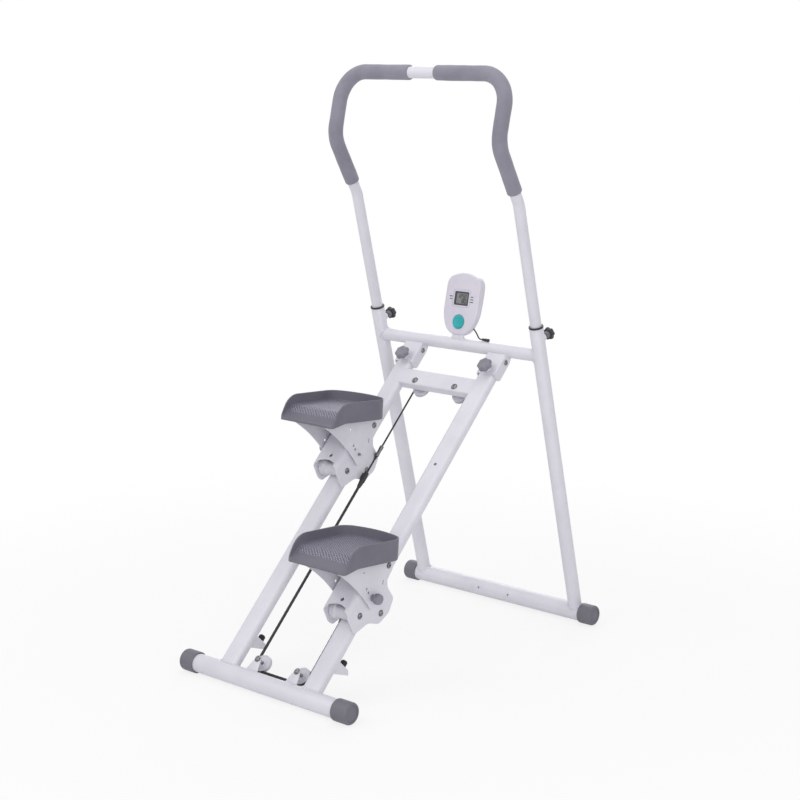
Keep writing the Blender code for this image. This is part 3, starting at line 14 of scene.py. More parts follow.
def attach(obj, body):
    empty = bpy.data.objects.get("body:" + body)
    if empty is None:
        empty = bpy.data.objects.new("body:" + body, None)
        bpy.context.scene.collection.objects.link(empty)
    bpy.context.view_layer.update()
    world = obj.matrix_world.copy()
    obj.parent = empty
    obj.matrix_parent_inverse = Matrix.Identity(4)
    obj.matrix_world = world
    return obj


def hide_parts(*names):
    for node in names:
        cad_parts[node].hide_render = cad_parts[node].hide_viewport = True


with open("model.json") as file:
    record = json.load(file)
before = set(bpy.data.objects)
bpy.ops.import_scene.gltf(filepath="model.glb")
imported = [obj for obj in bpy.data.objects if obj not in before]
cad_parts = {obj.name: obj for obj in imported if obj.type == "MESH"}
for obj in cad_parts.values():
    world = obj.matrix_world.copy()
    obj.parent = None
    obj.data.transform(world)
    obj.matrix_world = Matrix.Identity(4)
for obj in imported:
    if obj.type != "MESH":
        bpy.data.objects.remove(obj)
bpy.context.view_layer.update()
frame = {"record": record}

# Stance
LADDER_ANGLE, LEG_ANGLE, CONSOLE_LEAN, TRAY_TILT = np.radians((44.20024, 75.5, 12.0, 4.7))
HALF_WHEELBASE, BASE_Z = 0.444, 0.0254
CROSSBAR_RISE, SLEEVE_RISE, KICK_RISE = 0.700, 0.771, 1.0746
FRONT_BASE, REAR_BASE = (np.array([0, y, BASE_Z]) for y in (-HALF_WHEELBASE, HALF_WHEELBASE))
UP_LEG = np.array([0, -np.cos(LEG_ANGLE), np.sin(LEG_ANGLE)])
BEHIND_LEG = np.array([0, np.sin(LEG_ANGLE), np.cos(LEG_ANGLE)])
CROSSBAR_CENTRE = REAR_BASE + UP_LEG * (CROSSBAR_RISE / np.sin(LEG_ANGLE))
SLEEVE_LENGTH = SLEEVE_RISE / np.sin(LEG_ANGLE)
SIDES = {"left": -1, "right": 1}

# Sections
SHEET = 0.0026
BASE_RADIUS, BASE_WALL, CAP_RADIUS = 0.0225, 0.0016, 0.026
REAR_BASE_LENGTH, FRONT_BASE_LENGTH = 0.600, 0.508
LEG_RADIUS, CROSSBAR_RADIUS, HANDLE_RADIUS, GRIP_RADIUS = 0.0175, 0.016, 0.014, 0.0182
LEG_SPACING, RAIL_SPACING = 0.253, 0.132
RAIL_HALF_WIDTH, RAIL_HALF_DEPTH, RAIL_CORNER, RAIL_WALL = 0.025, 0.0125, 0.010, 0.0018
CLAMP_DROP = 0.033
NUT_REACH, STUD_RADIUS = 0.0085, 0.0038
WELD_PITCH, WELD_SWELL, COPE_SINK = 0.0032, 0.16, 0.0004
CLEARANCE, SHEET_EDGE = 0.0003, 0.0005

# Along the ladder: T up its rails from the front base tube, H square to them
PIVOT_T = 0.96605
LOCK_T, BRACKET_FOOT_T, CROSS_PLATE_T, TOP_PULLEY_T = PIVOT_T - np.array([0.036, 0.052, 0.090, 0.100])
BOTTOM_PULLEY_T, PLUG_T = 0.054, 0.644
CABLE_X, CABLE_H, PULLEY_PITCH = 0.0825, -0.025, 0.0195
PULLEY_X = CABLE_X - PULLEY_PITCH
ROPE_RADIUS, WIRE_RADIUS = 0.0036, 0.0022

# Carriages and pedals, from the front roller's axle and from the pedal's hinge
CARRIAGE_T = {"left": 0.5677, "right": 0.2137}
ROLLER_H = 0.0298
PLATE_INSIDE, CHEEK_INSIDE = 0.0378, 0.0462
PLATE_OUTSIDE, CHEEK_OUTSIDE = PLATE_INSIDE + SHEET, CHEEK_INSIDE + SHEET
REAR_AXLE_T, HINGE_T, HINGE_H, PIN_T, PIN_H, PIN_HOLE = 0.0437, 0.136, 0.0075, 0.050, 0.003, 0.0036
TRAY_HEEL, TRAY_SHOULDER, TRAY_TOE, TRAY_HALF_WIDTH = -0.1955, -0.0035, 0.0265, 0.091
TRAY_RISE, TRAY_HEIGHT, TRAY_FLOOR, TRAY_WALL, TRAY_APRON = 0.0223, 0.050, 0.0245, 0.0034, 0.046


def facing(direction):
    """Three axes as the columns of a matrix: the third is the direction, and the others stand square to it."""
    third = np.asarray(direction, float) / np.linalg.norm(direction)
    helper = np.array([1.0, 0, 0]) if abs(third[0]) < 0.9 else np.array([0, 1.0, 0])
    first = helper - third * (helper @ third)
    first /= np.linalg.norm(first)
    return np.stack([first, np.cross(third, first), third], 1)


def tilted(angle):
    """Axes turned about x: the second points along (0, cos a, sin a)."""
    return np.array([[1, 0, 0], [0, np.cos(angle), -np.sin(angle)], [0, np.sin(angle), np.cos(angle)]])


LADDER, CONSOLE, TRAY_AXES = tilted(LADDER_ANGLE), tilted(-CONSOLE_LEAN), tilted(-TRAY_TILT)
LEG = np.stack([[1, 0, 0], BEHIND_LEG, UP_LEG], 1)
LEVEL = np.eye(3)
UPRIGHT = np.array([[1, 0, 0], [0, 0, 1], [0, 1, 0]])
ALONG_X, ALONG_Y = facing((1, 0, 0)), facing((0, 1, 0))
ASKEW = (0.31, 0.52, 0.79)
CROSSBAR_ON_LADDER = (CROSSBAR_CENTRE - FRONT_BASE) @ LADDER


def on_ladder(x=0.0, t=0.0, h=0.0):
    """A place on the ladder, across it, up its rails and square to them, as a point in the room."""
    return FRONT_BASE + LADDER @ np.array([x, t, h])


def columns(*values):
    """Points from their measures, each an array or one number."""
    return np.stack(np.broadcast_arrays(*values), -1)


def arc(turn, radius=1.0, middle=(0, 0)):
    """Points of a circle at these angles: m + r (cos a, sin a)."""
    return np.asarray(middle) + radius * columns(np.cos(turn), np.sin(turn))


# Shapes: each is (points, quads, caps)
def shell(rings, closed=False):
    """A surface through rings of points, one quad to a cell; its first and last ring are closed by one flat face
    each, or, where closed is set, the last ring joins the first."""
    rows, ring = rings.shape[:2]
    index = np.arange(rows * ring).reshape(rows, ring)
    if closed:
        index = np.vstack([index, index[:1]])
    index = np.hstack([index, index[:, :1]])
    quads = np.stack([index[:-1, :-1], index[:-1, 1:], index[1:, 1:], index[1:, :-1]], -1).reshape(-1, 4)
    caps = [] if closed else [index[0, :-1][::-1].tolist(), index[-1, :-1].tolist()]
    return rings.reshape(-1, 3), quads, caps


def put(shape, axes=LEVEL, place=(0, 0, 0)):
    """The shape's x, y and z laid along three axes, then moved: p' = axes p + place."""
    return shape[0] @ np.asarray(axes).T + np.asarray(place), shape[1], shape[2]


def laid(axes, place, *shapes):
    """Several shapes laid along the same axes at the same place."""
    return [put(shape, axes, place) for shape in shapes]


def softened(corners, setback, count=5, closed=False):
    """Each corner C of a line becomes the curve (1-s)^2 A + 2s(1-s) C + s^2 B, A and B lying the setback from C
    towards its neighbours, and never past the middle of a side."""
    corners = np.asarray(corners, float)
    back, ahead = np.roll(corners, 1, 0) - corners, np.roll(corners, -1, 0) - corners
    lengths = np.linalg.norm(back, axis=1), np.linalg.norm(ahead, axis=1)
    reach = [np.minimum(setback, 0.49 * length) / length for length in lengths]
    a, b = corners + back * reach[0][:, None], corners + ahead * reach[1][:, None]
    s = np.linspace(0, 1, count)[None, :, None]
    curve = (1 - s) ** 2 * a[:, None] + 2 * s * (1 - s) * corners[:, None] + s ** 2 * b[:, None]
    if closed:
        return curve.reshape(-1, corners.shape[1])
    inner = curve[1:-1].reshape(-1, corners.shape[1])
    return np.vstack([corners[:1], inner, corners[-1:]])


def around(ring):
    """The angles of one full turn, evenly spaced."""
    return np.arange(ring) * 2 * np.pi / ring


def lathe(profile, ring=40, lobes=1.0, closed=False):
    """A profile of (radius, height) carried round Z: x = r cos a, y = r sin a. Lobes scales r by row and angle."""
    profile, angle = np.asarray(profile, float), around(ring)
    radius = profile[:, :1] * lobes * np.ones(ring)
    height = profile[:, 1:] * np.ones(ring)
    return shell(np.stack([radius * np.cos(angle), radius * np.sin(angle), height], -1), closed)


def turned(profile, edge=0.0006, ring=40, closed=False, count=5):
    """A turned piece whose profile corners are all eased by a small curve."""
    return lathe(softened(profile, edge, count, closed), ring, closed=closed)


def pipe(outer, inner, low, high, ring=48, edge=0.0004):
    """A tube along Z: its outer and inner walls are one closed profile."""
    return turned([(outer, low), (outer, high), (inner, high), (inner, low)], edge, ring, True, 3)


def rod(radius, low, high, ring=24):
    """A plain round bar along Z: a shank, or the tool that drills a hole."""
    return lathe([(0, low), (radius, low), (radius, high), (0, high)], ring)


def soft_rectangle(x, y, corner, count):
    """A rectangle between two values of x and two of y, its corners softened."""
    return softened([(x[0], y[0]), (x[1], y[0]), (x[1], y[1]), (x[0], y[1])], corner, count, True)


def arced(corners, radii, step=0.10, closed=False):
    """A line whose corners are arcs tangent to both their sides: p = m + (a cos w + b sin w), a pointing from the
    arc's middle m to where it starts and b square to it. An open line keeps its two ends."""
    corners = np.asarray(corners, float)
    if closed:
        corners = np.vstack([corners[-1:], corners, corners[:1]])
    runs = [corners[:1]]
    for before, corner, after, radius in zip(corners[:-2], corners[1:-1], corners[2:], radii):
        back, ahead = (v / np.linalg.norm(v) for v in (before - corner, after - corner))
        half = np.arccos(np.clip(back @ ahead, -1, 1)) / 2
        middle = corner + (back + ahead) / np.linalg.norm(back + ahead) * radius / np.sin(half)
        a = corner + back * radius / np.tan(half) - middle
        b = -back * radius
        turn = np.linspace(0, np.pi - 2 * half, int(np.ceil((np.pi - 2 * half) / step)) + 1)[:, None]
        runs.append(middle + a * np.cos(turn) + b * np.sin(turn))
    return np.vstack(runs[1:] if closed else runs + [corners[-1:]])


def walked(path):
    """How far along a line each of its points lies."""
    return np.concatenate([[0], np.cumsum(np.linalg.norm(np.diff(path, axis=0), axis=1))])


def along(path, reach):
    """Points of a line at these distances from its start."""
    length = walked(path)
    return np.stack([np.interp(reach, length, column) for column in np.transpose(path)], 1)


def length_of(path):
    """How long a line of points is."""
    return np.linalg.norm(np.diff(path, axis=0), axis=1).sum()


def even_outline(corners, radii, step, count):
    """A closed outline whose corners are arcs, as evenly spaced points."""
    line = arced(corners, radii, step, True)
    line = np.vstack([line, line[:1]])
    return along(line, np.linspace(0, length_of(line), count + 1)[:-1])


def inward_of(outline):
    """The inward normals of a closed outline that runs anticlockwise."""
    tangent = np.roll(outline, -1, 0) - np.roll(outline, 1, 0)
    return np.stack([-tangent[:, 1], tangent[:, 0]], 1) / np.linalg.norm(tangent, axis=1, keepdims=True)


def bar(path, radius, ring=28, reference=(0.2, 0.95, -0.2), closed=False):
    """A round bar along a line: p + r (n cos a + b sin a), n and b being square to the line. The radius may
    differ at each point and each angle."""
    path = np.asarray(path, float)
    if closed:
        tangent = np.roll(path, -1, 0) - np.roll(path, 1, 0)
    else:
        tangent = np.gradient(path, axis=0)
    tangent /= np.linalg.norm(tangent, axis=1, keepdims=True)
    normal = np.cross(tangent, reference)
    normal /= np.linalg.norm(normal, axis=1, keepdims=True)
    other = np.cross(tangent, normal)
    angle = around(ring)[None, :, None]
    radius = np.asarray(radius, float)
    radius = radius.reshape(-1, 1, 1) if radius.ndim < 2 else radius[:, :, None]
    return shell(path[:, None] + radius * (normal[:, None] * np.cos(angle) + other[:, None] * np.sin(angle)), closed)


def eased_reach(length, edge, spacing):
    """Distances along a bar, close together at its rounded ends, and how far the surface sinks there: a quarter
    circle of the edge's radius."""
    turn = np.linspace(0, np.pi / 2, 7)
    end = edge * (1 - np.cos(turn))
    middle = np.linspace(edge, length - edge, max(2, int(length / spacing)))[1:-1]
    reach = np.concatenate([end, middle, length - end[::-1]])
    near = np.clip(np.minimum(reach, length - reach), 0, edge)
    return reach, edge - np.sqrt(np.maximum(edge ** 2 - (edge - near) ** 2, 0))


def bead(points, radius=0.0019):
    """A weld bead along a closed line: a thin ring whose radius swells and falls once every pitch."""
    swell = 1 + WELD_SWELL * np.cos(2 * np.pi * walked(points) / WELD_PITCH)
    return bar(points, radius * swell, 10, ASKEW, closed=True)


def straight_bead(start, end, radius=0.0018):
    """A weld bead along a straight seam, tapering to nothing at its ends."""
    start, end = np.asarray(start, float), np.asarray(end, float)
    length = np.linalg.norm(end - start)
    s = np.linspace(0, 1, int(length / WELD_PITCH * 6) + 12)
    swell = 1 + WELD_SWELL * np.cos(2 * np.pi * s * length / WELD_PITCH)
    fall = np.sqrt(np.clip(np.sin(np.pi * s), 0, 1)) ** 0.5
    return bar(start + (end - start) * s[:, None], radius * swell * fall, 10, ASKEW)


def slab(outline, low, high, edge=0.0005, steps=3):
    """A flat outline of (x, y) given a thickness along Z, its two rims eased: each rim ring is the outline moved
    in along its own normals by edge (1 - sin w) while its height turns through edge (1 - cos w)."""
    outline = np.asarray(outline, float)
    area = np.sum(outline[:, 0] * np.roll(outline[:, 1], -1) - outline[:, 1] * np.roll(outline[:, 0], -1))
    inward = inward_of(outline) * np.sign(area)
    turn = np.linspace(0, np.pi / 2, steps)
    inset, drop = edge * (1 - np.sin(turn)), edge * (1 - np.cos(turn))
    heights = np.concatenate([low + drop, (high - drop)[::-1]])
    insets = np.concatenate([inset, inset[::-1]])
    flat = outline[None] + inward[None] * insets[:, None, None]
    return shell(np.dstack([flat, np.repeat(heights[:, None], len(outline), 1)]))


def flat_frame(outer, inner, near, far):
    """A flat frame between two outlines, from near to far along Z."""
    ends = ((outer, near), (outer, far), (inner, far), (inner, near))
    return shell(np.stack([columns(*line.T, end) for line, end in ends]), closed=True)


def folded(outer, inner, low, high):
    """Sheet metal bent along a section: at each station the sheet runs from low to high along the third axis,
    between an outer and an inner line. Its ring there is the sheet's own cut edge."""
    ends = ((outer, low), (outer, high), (inner, high), (inner, low))
    return shell(np.stack([columns(*line.T, end) for line, end in ends], 1))


def prism(outline, reach):
    """A closed outline of two measures, carried straight across from x = -reach to reach."""
    return shell(np.stack([columns(x, *np.transpose(outline)) for x in (-reach, reach)]))


def cross_drill(radius, second, third):
    """A round hole along x through a place given by the other two measures."""
    return put(rod(radius, -0.06, 0.06, 28), ALONG_X, (0, second, third))


def channel(half_width, back, front, bend, thickness, stations=10, count=7):
    """The section of a U-shaped channel, open towards -h: its outer and inner lines, station by station, down one
    side, round a bend, across the web and back. Stations crowd towards the free edges."""
    ease = (1 - np.cos(np.linspace(0, np.pi, stations))) / 2
    side = back + (front - bend - back) * ease
    turn = np.linspace(0, np.pi / 2, count)[1:]
    across = np.linspace(-1, 1, 25)[1:-1]

    def line(half, top, radius):
        """One wall: half its width, the height of its web and the radius of its bends."""
        corner = columns(-half + radius * (1 - np.cos(turn)), top - radius + radius * np.sin(turn))
        left = np.vstack([columns(-half, side), corner])
        web = columns(across * (half - radius), top)
        right = left[::-1] * (-1, 1)
        return np.vstack([left, web, right])

    return line(half_width, front, bend), line(half_width - thickness, front - thickness, bend - thickness)


def hexagon(ring):
    """How far a hexagon reaches at each angle, for a reach of 1 to its flats."""
    return 1 / np.cos(np.mod(around(ring), np.pi / 3) - np.pi / 6)


def bolt_head(radius=0.0066, height=0.0036, socket=0.0030):
    """A domed head on z = 0: the dome's profile is turned, and its hexagon socket's rows reach 1 / cos a."""
    ring, mouth, rim = 36, 0.25, height * 0.14
    turn = np.linspace(mouth, np.pi / 2, 6)
    dome = columns(radius * np.sin(turn), height * np.cos(turn) / np.cos(mouth) * 0.86 + rim)
    top = dome[0, 1]
    profile = np.vstack([(0, top * 0.12), (socket, top * 0.12), (socket, top * 0.98), dome[:1], dome, (radius, rim),
                         (radius * 0.97, 0), (0, 0)])
    lobes = np.ones((len(profile), ring))
    lobes[1:3] = hexagon(ring)
    return lathe(profile, ring, lobes)


def hex_nut(reach, low, high):
    """A hexagon nut along Z, its two faces chamfered to a circle."""
    ring = 48
    edge = (high - low) * 0.14
    profile = np.array([(0, low), (reach, low), (reach, low + edge), (reach, high - edge), (reach, high), (0, high)])
    lobes = np.ones((len(profile), ring))
    lobes[2:4] = hexagon(ring)
    return lathe(profile, ring, lobes)


def star_head(radius, thickness):
    """A star knob's head on z = 0: r = R(z) (1 - d (1 - cos 7a) / 2), the lobes' depth d fading to nothing towards
    the middle of its crowned face."""
    lobes, depth = 7, 0.17
    ring, rim, dish = lobes * 12, thickness * 0.22, thickness * 0.93
    profile = softened([(0, 0), (radius * 0.90, 0), (radius, rim), (radius, thickness - rim * 1.6),
                        (radius * 0.72, thickness), (radius * 0.34, thickness), (radius * 0.30, dish), (0, dish)],
                       0.0018, 5)
    share = np.clip((profile[:, :1] / radius - 0.5) / 0.45, 0, 1)
    return lathe(profile, ring, 1 - depth * share * (1 - np.cos(lobes * around(ring))) / 2)


# Objects
dressed = bpy.data.collections.new("stair_stepper")
bpy.context.scene.collection.children.link(dressed)


def object_of(name, shapes):
    """One mesh object from closed shapes: their points put end to end, doubles merged and faces turned outward."""
    start, points, faces = 0, [], []
    for shape in shapes:
        points.append(shape[0])
        faces += (shape[1] + start).tolist() + [[i + start for i in cap] for cap in shape[2]]
        start += len(shape[0])
    mesh = bpy.data.meshes.new(name)
    mesh.from_pydata(np.vstack(points).tolist(), [], faces)
    work = bmesh.new()
    work.from_mesh(mesh)
    bmesh.ops.remove_doubles(work, verts=work.verts, dist=2e-6)
    bmesh.ops.dissolve_degenerate(work, edges=work.edges, dist=1e-7)
    bmesh.ops.recalc_face_normals(work, faces=work.faces)
    work.to_mesh(mesh)
    work.free()
    made = bpy.data.objects.new(name, mesh)
    dressed.objects.link(made)
    return made


def settled(made):
    """The object with its modifiers worked into its mesh."""
    bpy.context.view_layer.update()
    graph = bpy.context.evaluated_depsgraph_get()
    mesh = bpy.data.meshes.new_from_object(made.evaluated_get(graph))
    made.modifiers.clear()
    made.data = mesh
    return made


def worked(made, operation, shapes):
    """The object less each of these closed shapes, or what it shares with them."""
    tools = [object_of("tool", [shape]) for shape in shapes]
    for tool in tools:
        step = made.modifiers.new("Work", "BOOLEAN")
        step.operation = operation
        step.solver = "EXACT"
        step.object = tool
    made = settled(made)
    for tool in tools:
        bpy.data.objects.remove(tool, do_unlink=True)
    return made


BODY_OF = {node: body for body, nodes in frame["record"]["behaviour"]["bodies"].items() for node in nodes}


def piece(name, finish, shapes, body=None, holes=(), edge=0.0, sharp=38, within=(), cuts=()):
    """A finished piece. One named for a CAD node stands for it and rides on its body. Its first shape is cut to its
    outline, its edges are eased and its holes drilled, and the other shapes are put to it afterwards."""
    node = name in BODY_OF
    single = bool(edge or holes or within or cuts)
    made = object_of(name + "_form" if node else name, shapes[:1] if single else shapes)
    if within:
        made = worked(made, "INTERSECT", within)
    if cuts:
        made = worked(made, "DIFFERENCE", cuts)
    if edge:
        bevel = made.modifiers.new("Edge", "BEVEL")
        bevel.width = edge
        bevel.segments = 2
        bevel.limit_method = "ANGLE"
        bevel.angle_limit = np.radians(50)
        made = settled(made)
    if holes:
        made = worked(made, "DIFFERENCE", holes)
    if single and len(shapes) > 1:
        rest = object_of("rest", shapes[1:])
        joint = bmesh.new()
        joint.from_mesh(made.data)
        joint.from_mesh(rest.data)
        joint.to_mesh(made.data)
        joint.free()
        bpy.data.objects.remove(rest, do_unlink=True)
    made.data.materials.clear()
    made.data.materials.append(finish)
    made.data.shade_smooth()
    made.data.set_sharp_from_angle(angle=np.radians(sharp))
    if single:
        even = made.modifiers.new("Even", "WEIGHTED_NORMAL")
        even.keep_sharp = True
    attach(made, BODY_OF[name] if node else body)
    if node:
        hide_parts(name)
    return made


# Finishes
def add_node(tree, kind, inputs=None, **settings):
    """A shader node with its settings, its inputs set to values or linked to sockets."""
    made = tree.nodes.new(kind)
    for key, value in settings.items():
        setattr(made, key, value)
    for key, value in (inputs or {}).items():
        if isinstance(value, bpy.types.NodeSocket):
            tree.links.new(value, made.inputs[key])
        else:
            made.inputs[key].default_value = value
    return made


def new_group(name, inputs, outputs):
    """An empty node group with float inputs and outputs, and the sockets of its two end nodes."""
    tree = bpy.data.node_groups.new(name, "ShaderNodeTree")
    for key, value in inputs.items():
        tree.interface.new_socket(key, in_out="INPUT", socket_type="NodeSocketFloat").default_value = value
    for key in outputs:
        tree.interface.new_socket(key, in_out="OUTPUT", socket_type="NodeSocketFloat")
    return tree, tree.nodes.new("NodeGroupInput").outputs, tree.nodes.new("NodeGroupOutput").inputs


def maths(tree, operation, first, second):
    """One sum done with two values."""
    return add_node(tree, "ShaderNodeMath", {0: first, 1: second}, operation=operation).outputs[0]


def ramp(tree, value, low, high, start=0.0, end=1.0, kind="SMOOTHSTEP"):
    """The value's way from low to high, put between start and end."""
    return add_node(tree, "ShaderNodeMapRange", {"Value": value, 1: low, 2: high, 3: start, 4: end},
                    interpolation_type=kind).outputs[0]


def blended(tree, share, first, second):
    """A colour that passes into another one; each is a socket or three numbers."""
    tints = [tint if isinstance(tint, bpy.types.NodeSocket) else (*tint, 1) for tint in (first, second)]
    return add_node(tree, "ShaderNodeMix", {0: share, 6: tints[0], 7: tints[1]}, data_type="RGBA").outputs[2]


def object_place(tree):
    """The place on the piece, in metres."""
    return add_node(tree, "ShaderNodeTexCoord").outputs["Object"]


def clouds(tree, scale, detail, roughness=0.5):
    """Noise, with so many clouds to the metre."""
    return add_node(tree, "ShaderNodeTexNoise", {"Vector": object_place(tree), "Scale": scale, "Detail": detail,
                                                 "Roughness": roughness}).outputs[0]


def grain_group():
    """Fine relief: noise at a feature size in metres, with a coarser wave under it."""
    tree, given, out = new_group("fine_grain", {"Size": 0.001, "Wave": 0.3}, ["Height"])
    per_metre = maths(tree, "DIVIDE", 1.0, given["Size"])
    fine = clouds(tree, per_metre, 2.0)
    wave = clouds(tree, maths(tree, "MULTIPLY", per_metre, 0.16), 1.0)
    mix = add_node(tree, "ShaderNodeMix", {0: given["Wave"], 2: fine, 3: wave})
    tree.links.new(mix.outputs[0], out["Height"])
    return tree


def cell_group():
    """Small cells: a Voronoi distance, dark between the cells, at a cell size in metres."""
    tree, given, out = new_group("fine_cells", {"Size": 0.001}, ["Height"])
    per_metre = maths(tree, "DIVIDE", 1.0, given["Size"])
    cells = add_node(tree, "ShaderNodeTexVoronoi", {"Vector": object_place(tree), "Scale": per_metre},
                     feature="SMOOTH_F1").outputs["Distance"]
    tree.links.new(ramp(tree, cells, 0.15, 0.75, 1.0, 0.0), out["Height"])
    return tree


def handling_group():
    """Faint marks of handling: wide soft clouds broken up by finer ones."""
    tree, given, out = new_group("handling_marks", {"Size": 0.08}, ["Marks"])
    cloud = clouds(tree, maths(tree, "DIVIDE", 1.0, given["Size"]), 5.0, 0.62)
    tree.links.new(ramp(tree, cloud, 0.30, 0.70), out["Marks"])
    return tree


def edge_highlight_group():
    """Painted highlight on sharp edges: the surface's own sharpness, broken up by noise."""
    tree, given, out = new_group("painted_edge_highlight", {"Amount": 0.5}, ["Mask"])
    sharp = add_node(tree, "ShaderNodeNewGeometry").outputs["Pointiness"]
    broken = ramp(tree, clouds(tree, 260.0, 3.0), 0.35, 0.60, kind="LINEAR")
    both = maths(tree, "MULTIPLY", ramp(tree, sharp, 0.53, 0.62), broken)
    tree.links.new(maths(tree, "MULTIPLY", both, given["Amount"]), out["Mask"])
    return tree


GRAIN, CELLS, HANDLING, EDGE_HIGHLIGHT = grain_group(), cell_group(), handling_group(), edge_highlight_group()


def grouped(tree, group, **inputs):
    """What a shared effect puts out for its own values."""
    made = tree.nodes.new("ShaderNodeGroup")
    made.node_tree = group
    for key, value in inputs.items():
        made.inputs[key].default_value = value
    return made.outputs[0]


def finish_of(name, deep, pale, roughness, grain, grain_size, relief, highlight_amount, highlight_tint=None, marks_size=0.09, **constants):
    """A finish: its colour drifts between two close tints and turns to a paler one on sharp edges as a painted
    highlight, its roughness follows the same marks, and its grain is a small relief."""
    made = bpy.data.materials.new(name)
    made.use_nodes = True
    tree = made.node_tree
    shader = tree.nodes["Principled BSDF"]
    marks = grouped(tree, HANDLING, Size=marks_size)
    highlight_colour = highlight_tint or tuple(min(1.0, c * 1.5 + 0.02) for c in pale)
    # Painted highlight: sharp edges pass to a paler tint that stands for light caught on an edge.
    colour = blended(tree, grouped(tree, EDGE_HIGHLIGHT, Amount=highlight_amount), blended(tree, marks, deep, pale), highlight_colour)
    height = grouped(tree, grain, Size=grain_size)
    bump = add_node(tree, "ShaderNodeBump", {"Height": height, "Distance": relief, "Strength": 1.0}).outputs[0]
    for key, socket in (("Base Color", colour), ("Normal", bump),
                        ("Roughness", ramp(tree, marks, 0.0, 1.0, *roughness, "LINEAR"))):
        tree.links.new(socket, shader.inputs[key])
    for key, value in constants.items():
        shader.inputs[key.replace("_", " ").title()].default_value = value
    return made


def treaded(made):
    """Adds small round pips where the mesh's own tread value is 1: each is the smooth fall of a Voronoi distance,
    nearly regular, with about 5.4 mm from one to the next. They are raised, with painted light on their tops
    and painted shade in the hollows between them."""
    tree = made.node_tree
    shader = tree.nodes["Principled BSDF"]
    bump, colour = (shader.inputs[key].links[0].from_socket for key in ("Normal", "Base Color"))
    flat = add_node(tree, "ShaderNodeVectorMath", {0: object_place(tree), 1: (1, 1, 0)}, operation="MULTIPLY")
    askew = add_node(tree, "ShaderNodeMapping", {"Vector": flat.outputs[0], "Rotation": (0, 0, np.radians(38))})
    pips = add_node(tree, "ShaderNodeTexVoronoi", {"Vector": askew.outputs[0], "Scale": 186.0, "Randomness": 0.30},
                    voronoi_dimensions="2D").outputs["Distance"]
    pip = ramp(tree, pips, 0.12, 0.42, 1.0, 0.0)
    ground = add_node(tree, "ShaderNodeAttribute", attribute_name="tread").outputs["Fac"]
    raised = add_node(tree, "ShaderNodeBump", {"Height": maths(tree, "MULTIPLY", pip, ground), "Distance": 0.0007,
                                               "Strength": 1.0, "Normal": bump})
    # Painted light and shade: a pale tint on each pip's top and a dark one in the hollows between pips.
    painted_pip_light_and_shade = blended(tree, pip, (0.125, 0.118, 0.152), (0.500, 0.480, 0.600))
    tree.links.new(raised.outputs[0], shader.inputs["Normal"])
    tree.links.new(blended(tree, maths(tree, "MULTIPLY", ground, 0.74), colour, painted_pip_light_and_shade), shader.inputs["Base Color"])
    return made


# Each finish has a deep and a pale tint, its lowest and highest roughness, its grain with size and relief in metres,
# how strongly a painted highlight pales its sharp edges, and the tint of that highlight. Powder coat has a slight
# orange peel, the plastics are spark-textured, and the foam has closed cells and a soft sheen.
WHITE = finish_of("white_powder_coat", (0.685, 0.670, 0.725), (0.735, 0.722, 0.770), (0.34, 0.46), GRAIN, 0.0024,
                  0.00006, 0.15, (0.80, 0.79, 0.82))
GREY = finish_of("grey_moulded_plastic", (0.132, 0.127, 0.152), (0.168, 0.162, 0.190), (0.46, 0.60), CELLS, 0.0007,
                 0.00005, 0.35)
TRAY = treaded(finish_of("pedal_plastic", (0.136, 0.131, 0.163), (0.168, 0.162, 0.196), (0.50, 0.64), CELLS, 0.0008,
                         0.00006, 0.45))
FOAM = finish_of("grey_foam", (0.225, 0.215, 0.265), (0.285, 0.273, 0.328), (0.80, 0.92), CELLS, 0.0010, 0.00018, 0.1,
                 sheen_weight=0.25, sheen_roughness=0.5)
BLACK = finish_of("black_plastic", (0.016, 0.015, 0.018), (0.028, 0.027, 0.031), (0.38, 0.54), CELLS, 0.0006, 0.00003,
                  0.4, (0.07, 0.07, 0.075))
ROPE = finish_of("black_rope", (0.010, 0.010, 0.012), (0.026, 0.025, 0.029), (0.55, 0.74), GRAIN, 0.0004, 0.00010, 0.5,
                 (0.06, 0.06, 0.065))
RUBBER = finish_of("black_rubber", (0.014, 0.014, 0.015), (0.026, 0.026, 0.028), (0.70, 0.88), GRAIN, 0.0006, 0.00005,
                   0.4, (0.06, 0.06, 0.06))
STEEL = finish_of("zinc_steel", (0.13, 0.13, 0.14), (0.30, 0.30, 0.31), (0.20, 0.36), GRAIN, 0.0005, 0.00002, 0.5,
                  (0.8, 0.8, 0.8), 0.006, metallic=1.0)
NYLON = finish_of("white_nylon", (0.60, 0.59, 0.64), (0.66, 0.65, 0.70), (0.36, 0.50), GRAIN, 0.0010, 0.00003, 0.2,
                  (0.74, 0.74, 0.77))
CASE = finish_of("white_abs", (0.640, 0.600, 0.680), (0.690, 0.660, 0.730), (0.32, 0.44), CELLS, 0.0005, 0.00002, 0.2,
                 (0.78, 0.76, 0.80))
TEAL = finish_of("teal_button", (0.012, 0.330, 0.355), (0.020, 0.430, 0.450), (0.30, 0.42), GRAIN, 0.0006, 0.00002,
                 0.3, (0.10, 0.60, 0.62), 0.02)
DISPLAY = finish_of("display_glass", (0.190, 0.200, 0.195), (0.250, 0.262, 0.255), (0.10, 0.20), GRAIN, 0.004,
                    0.000004, 0.0, marks_size=0.03)
INK = finish_of("dark_print", (0.035, 0.033, 0.040), (0.060, 0.058, 0.066), (0.40, 0.55), GRAIN, 0.0008, 0.00001, 0.0)
KNOB = finish_of("light_grey_plastic", (0.205, 0.198, 0.235), (0.255, 0.247, 0.285), (0.42, 0.56), CELLS, 0.0007,
                 0.00005, 0.35)


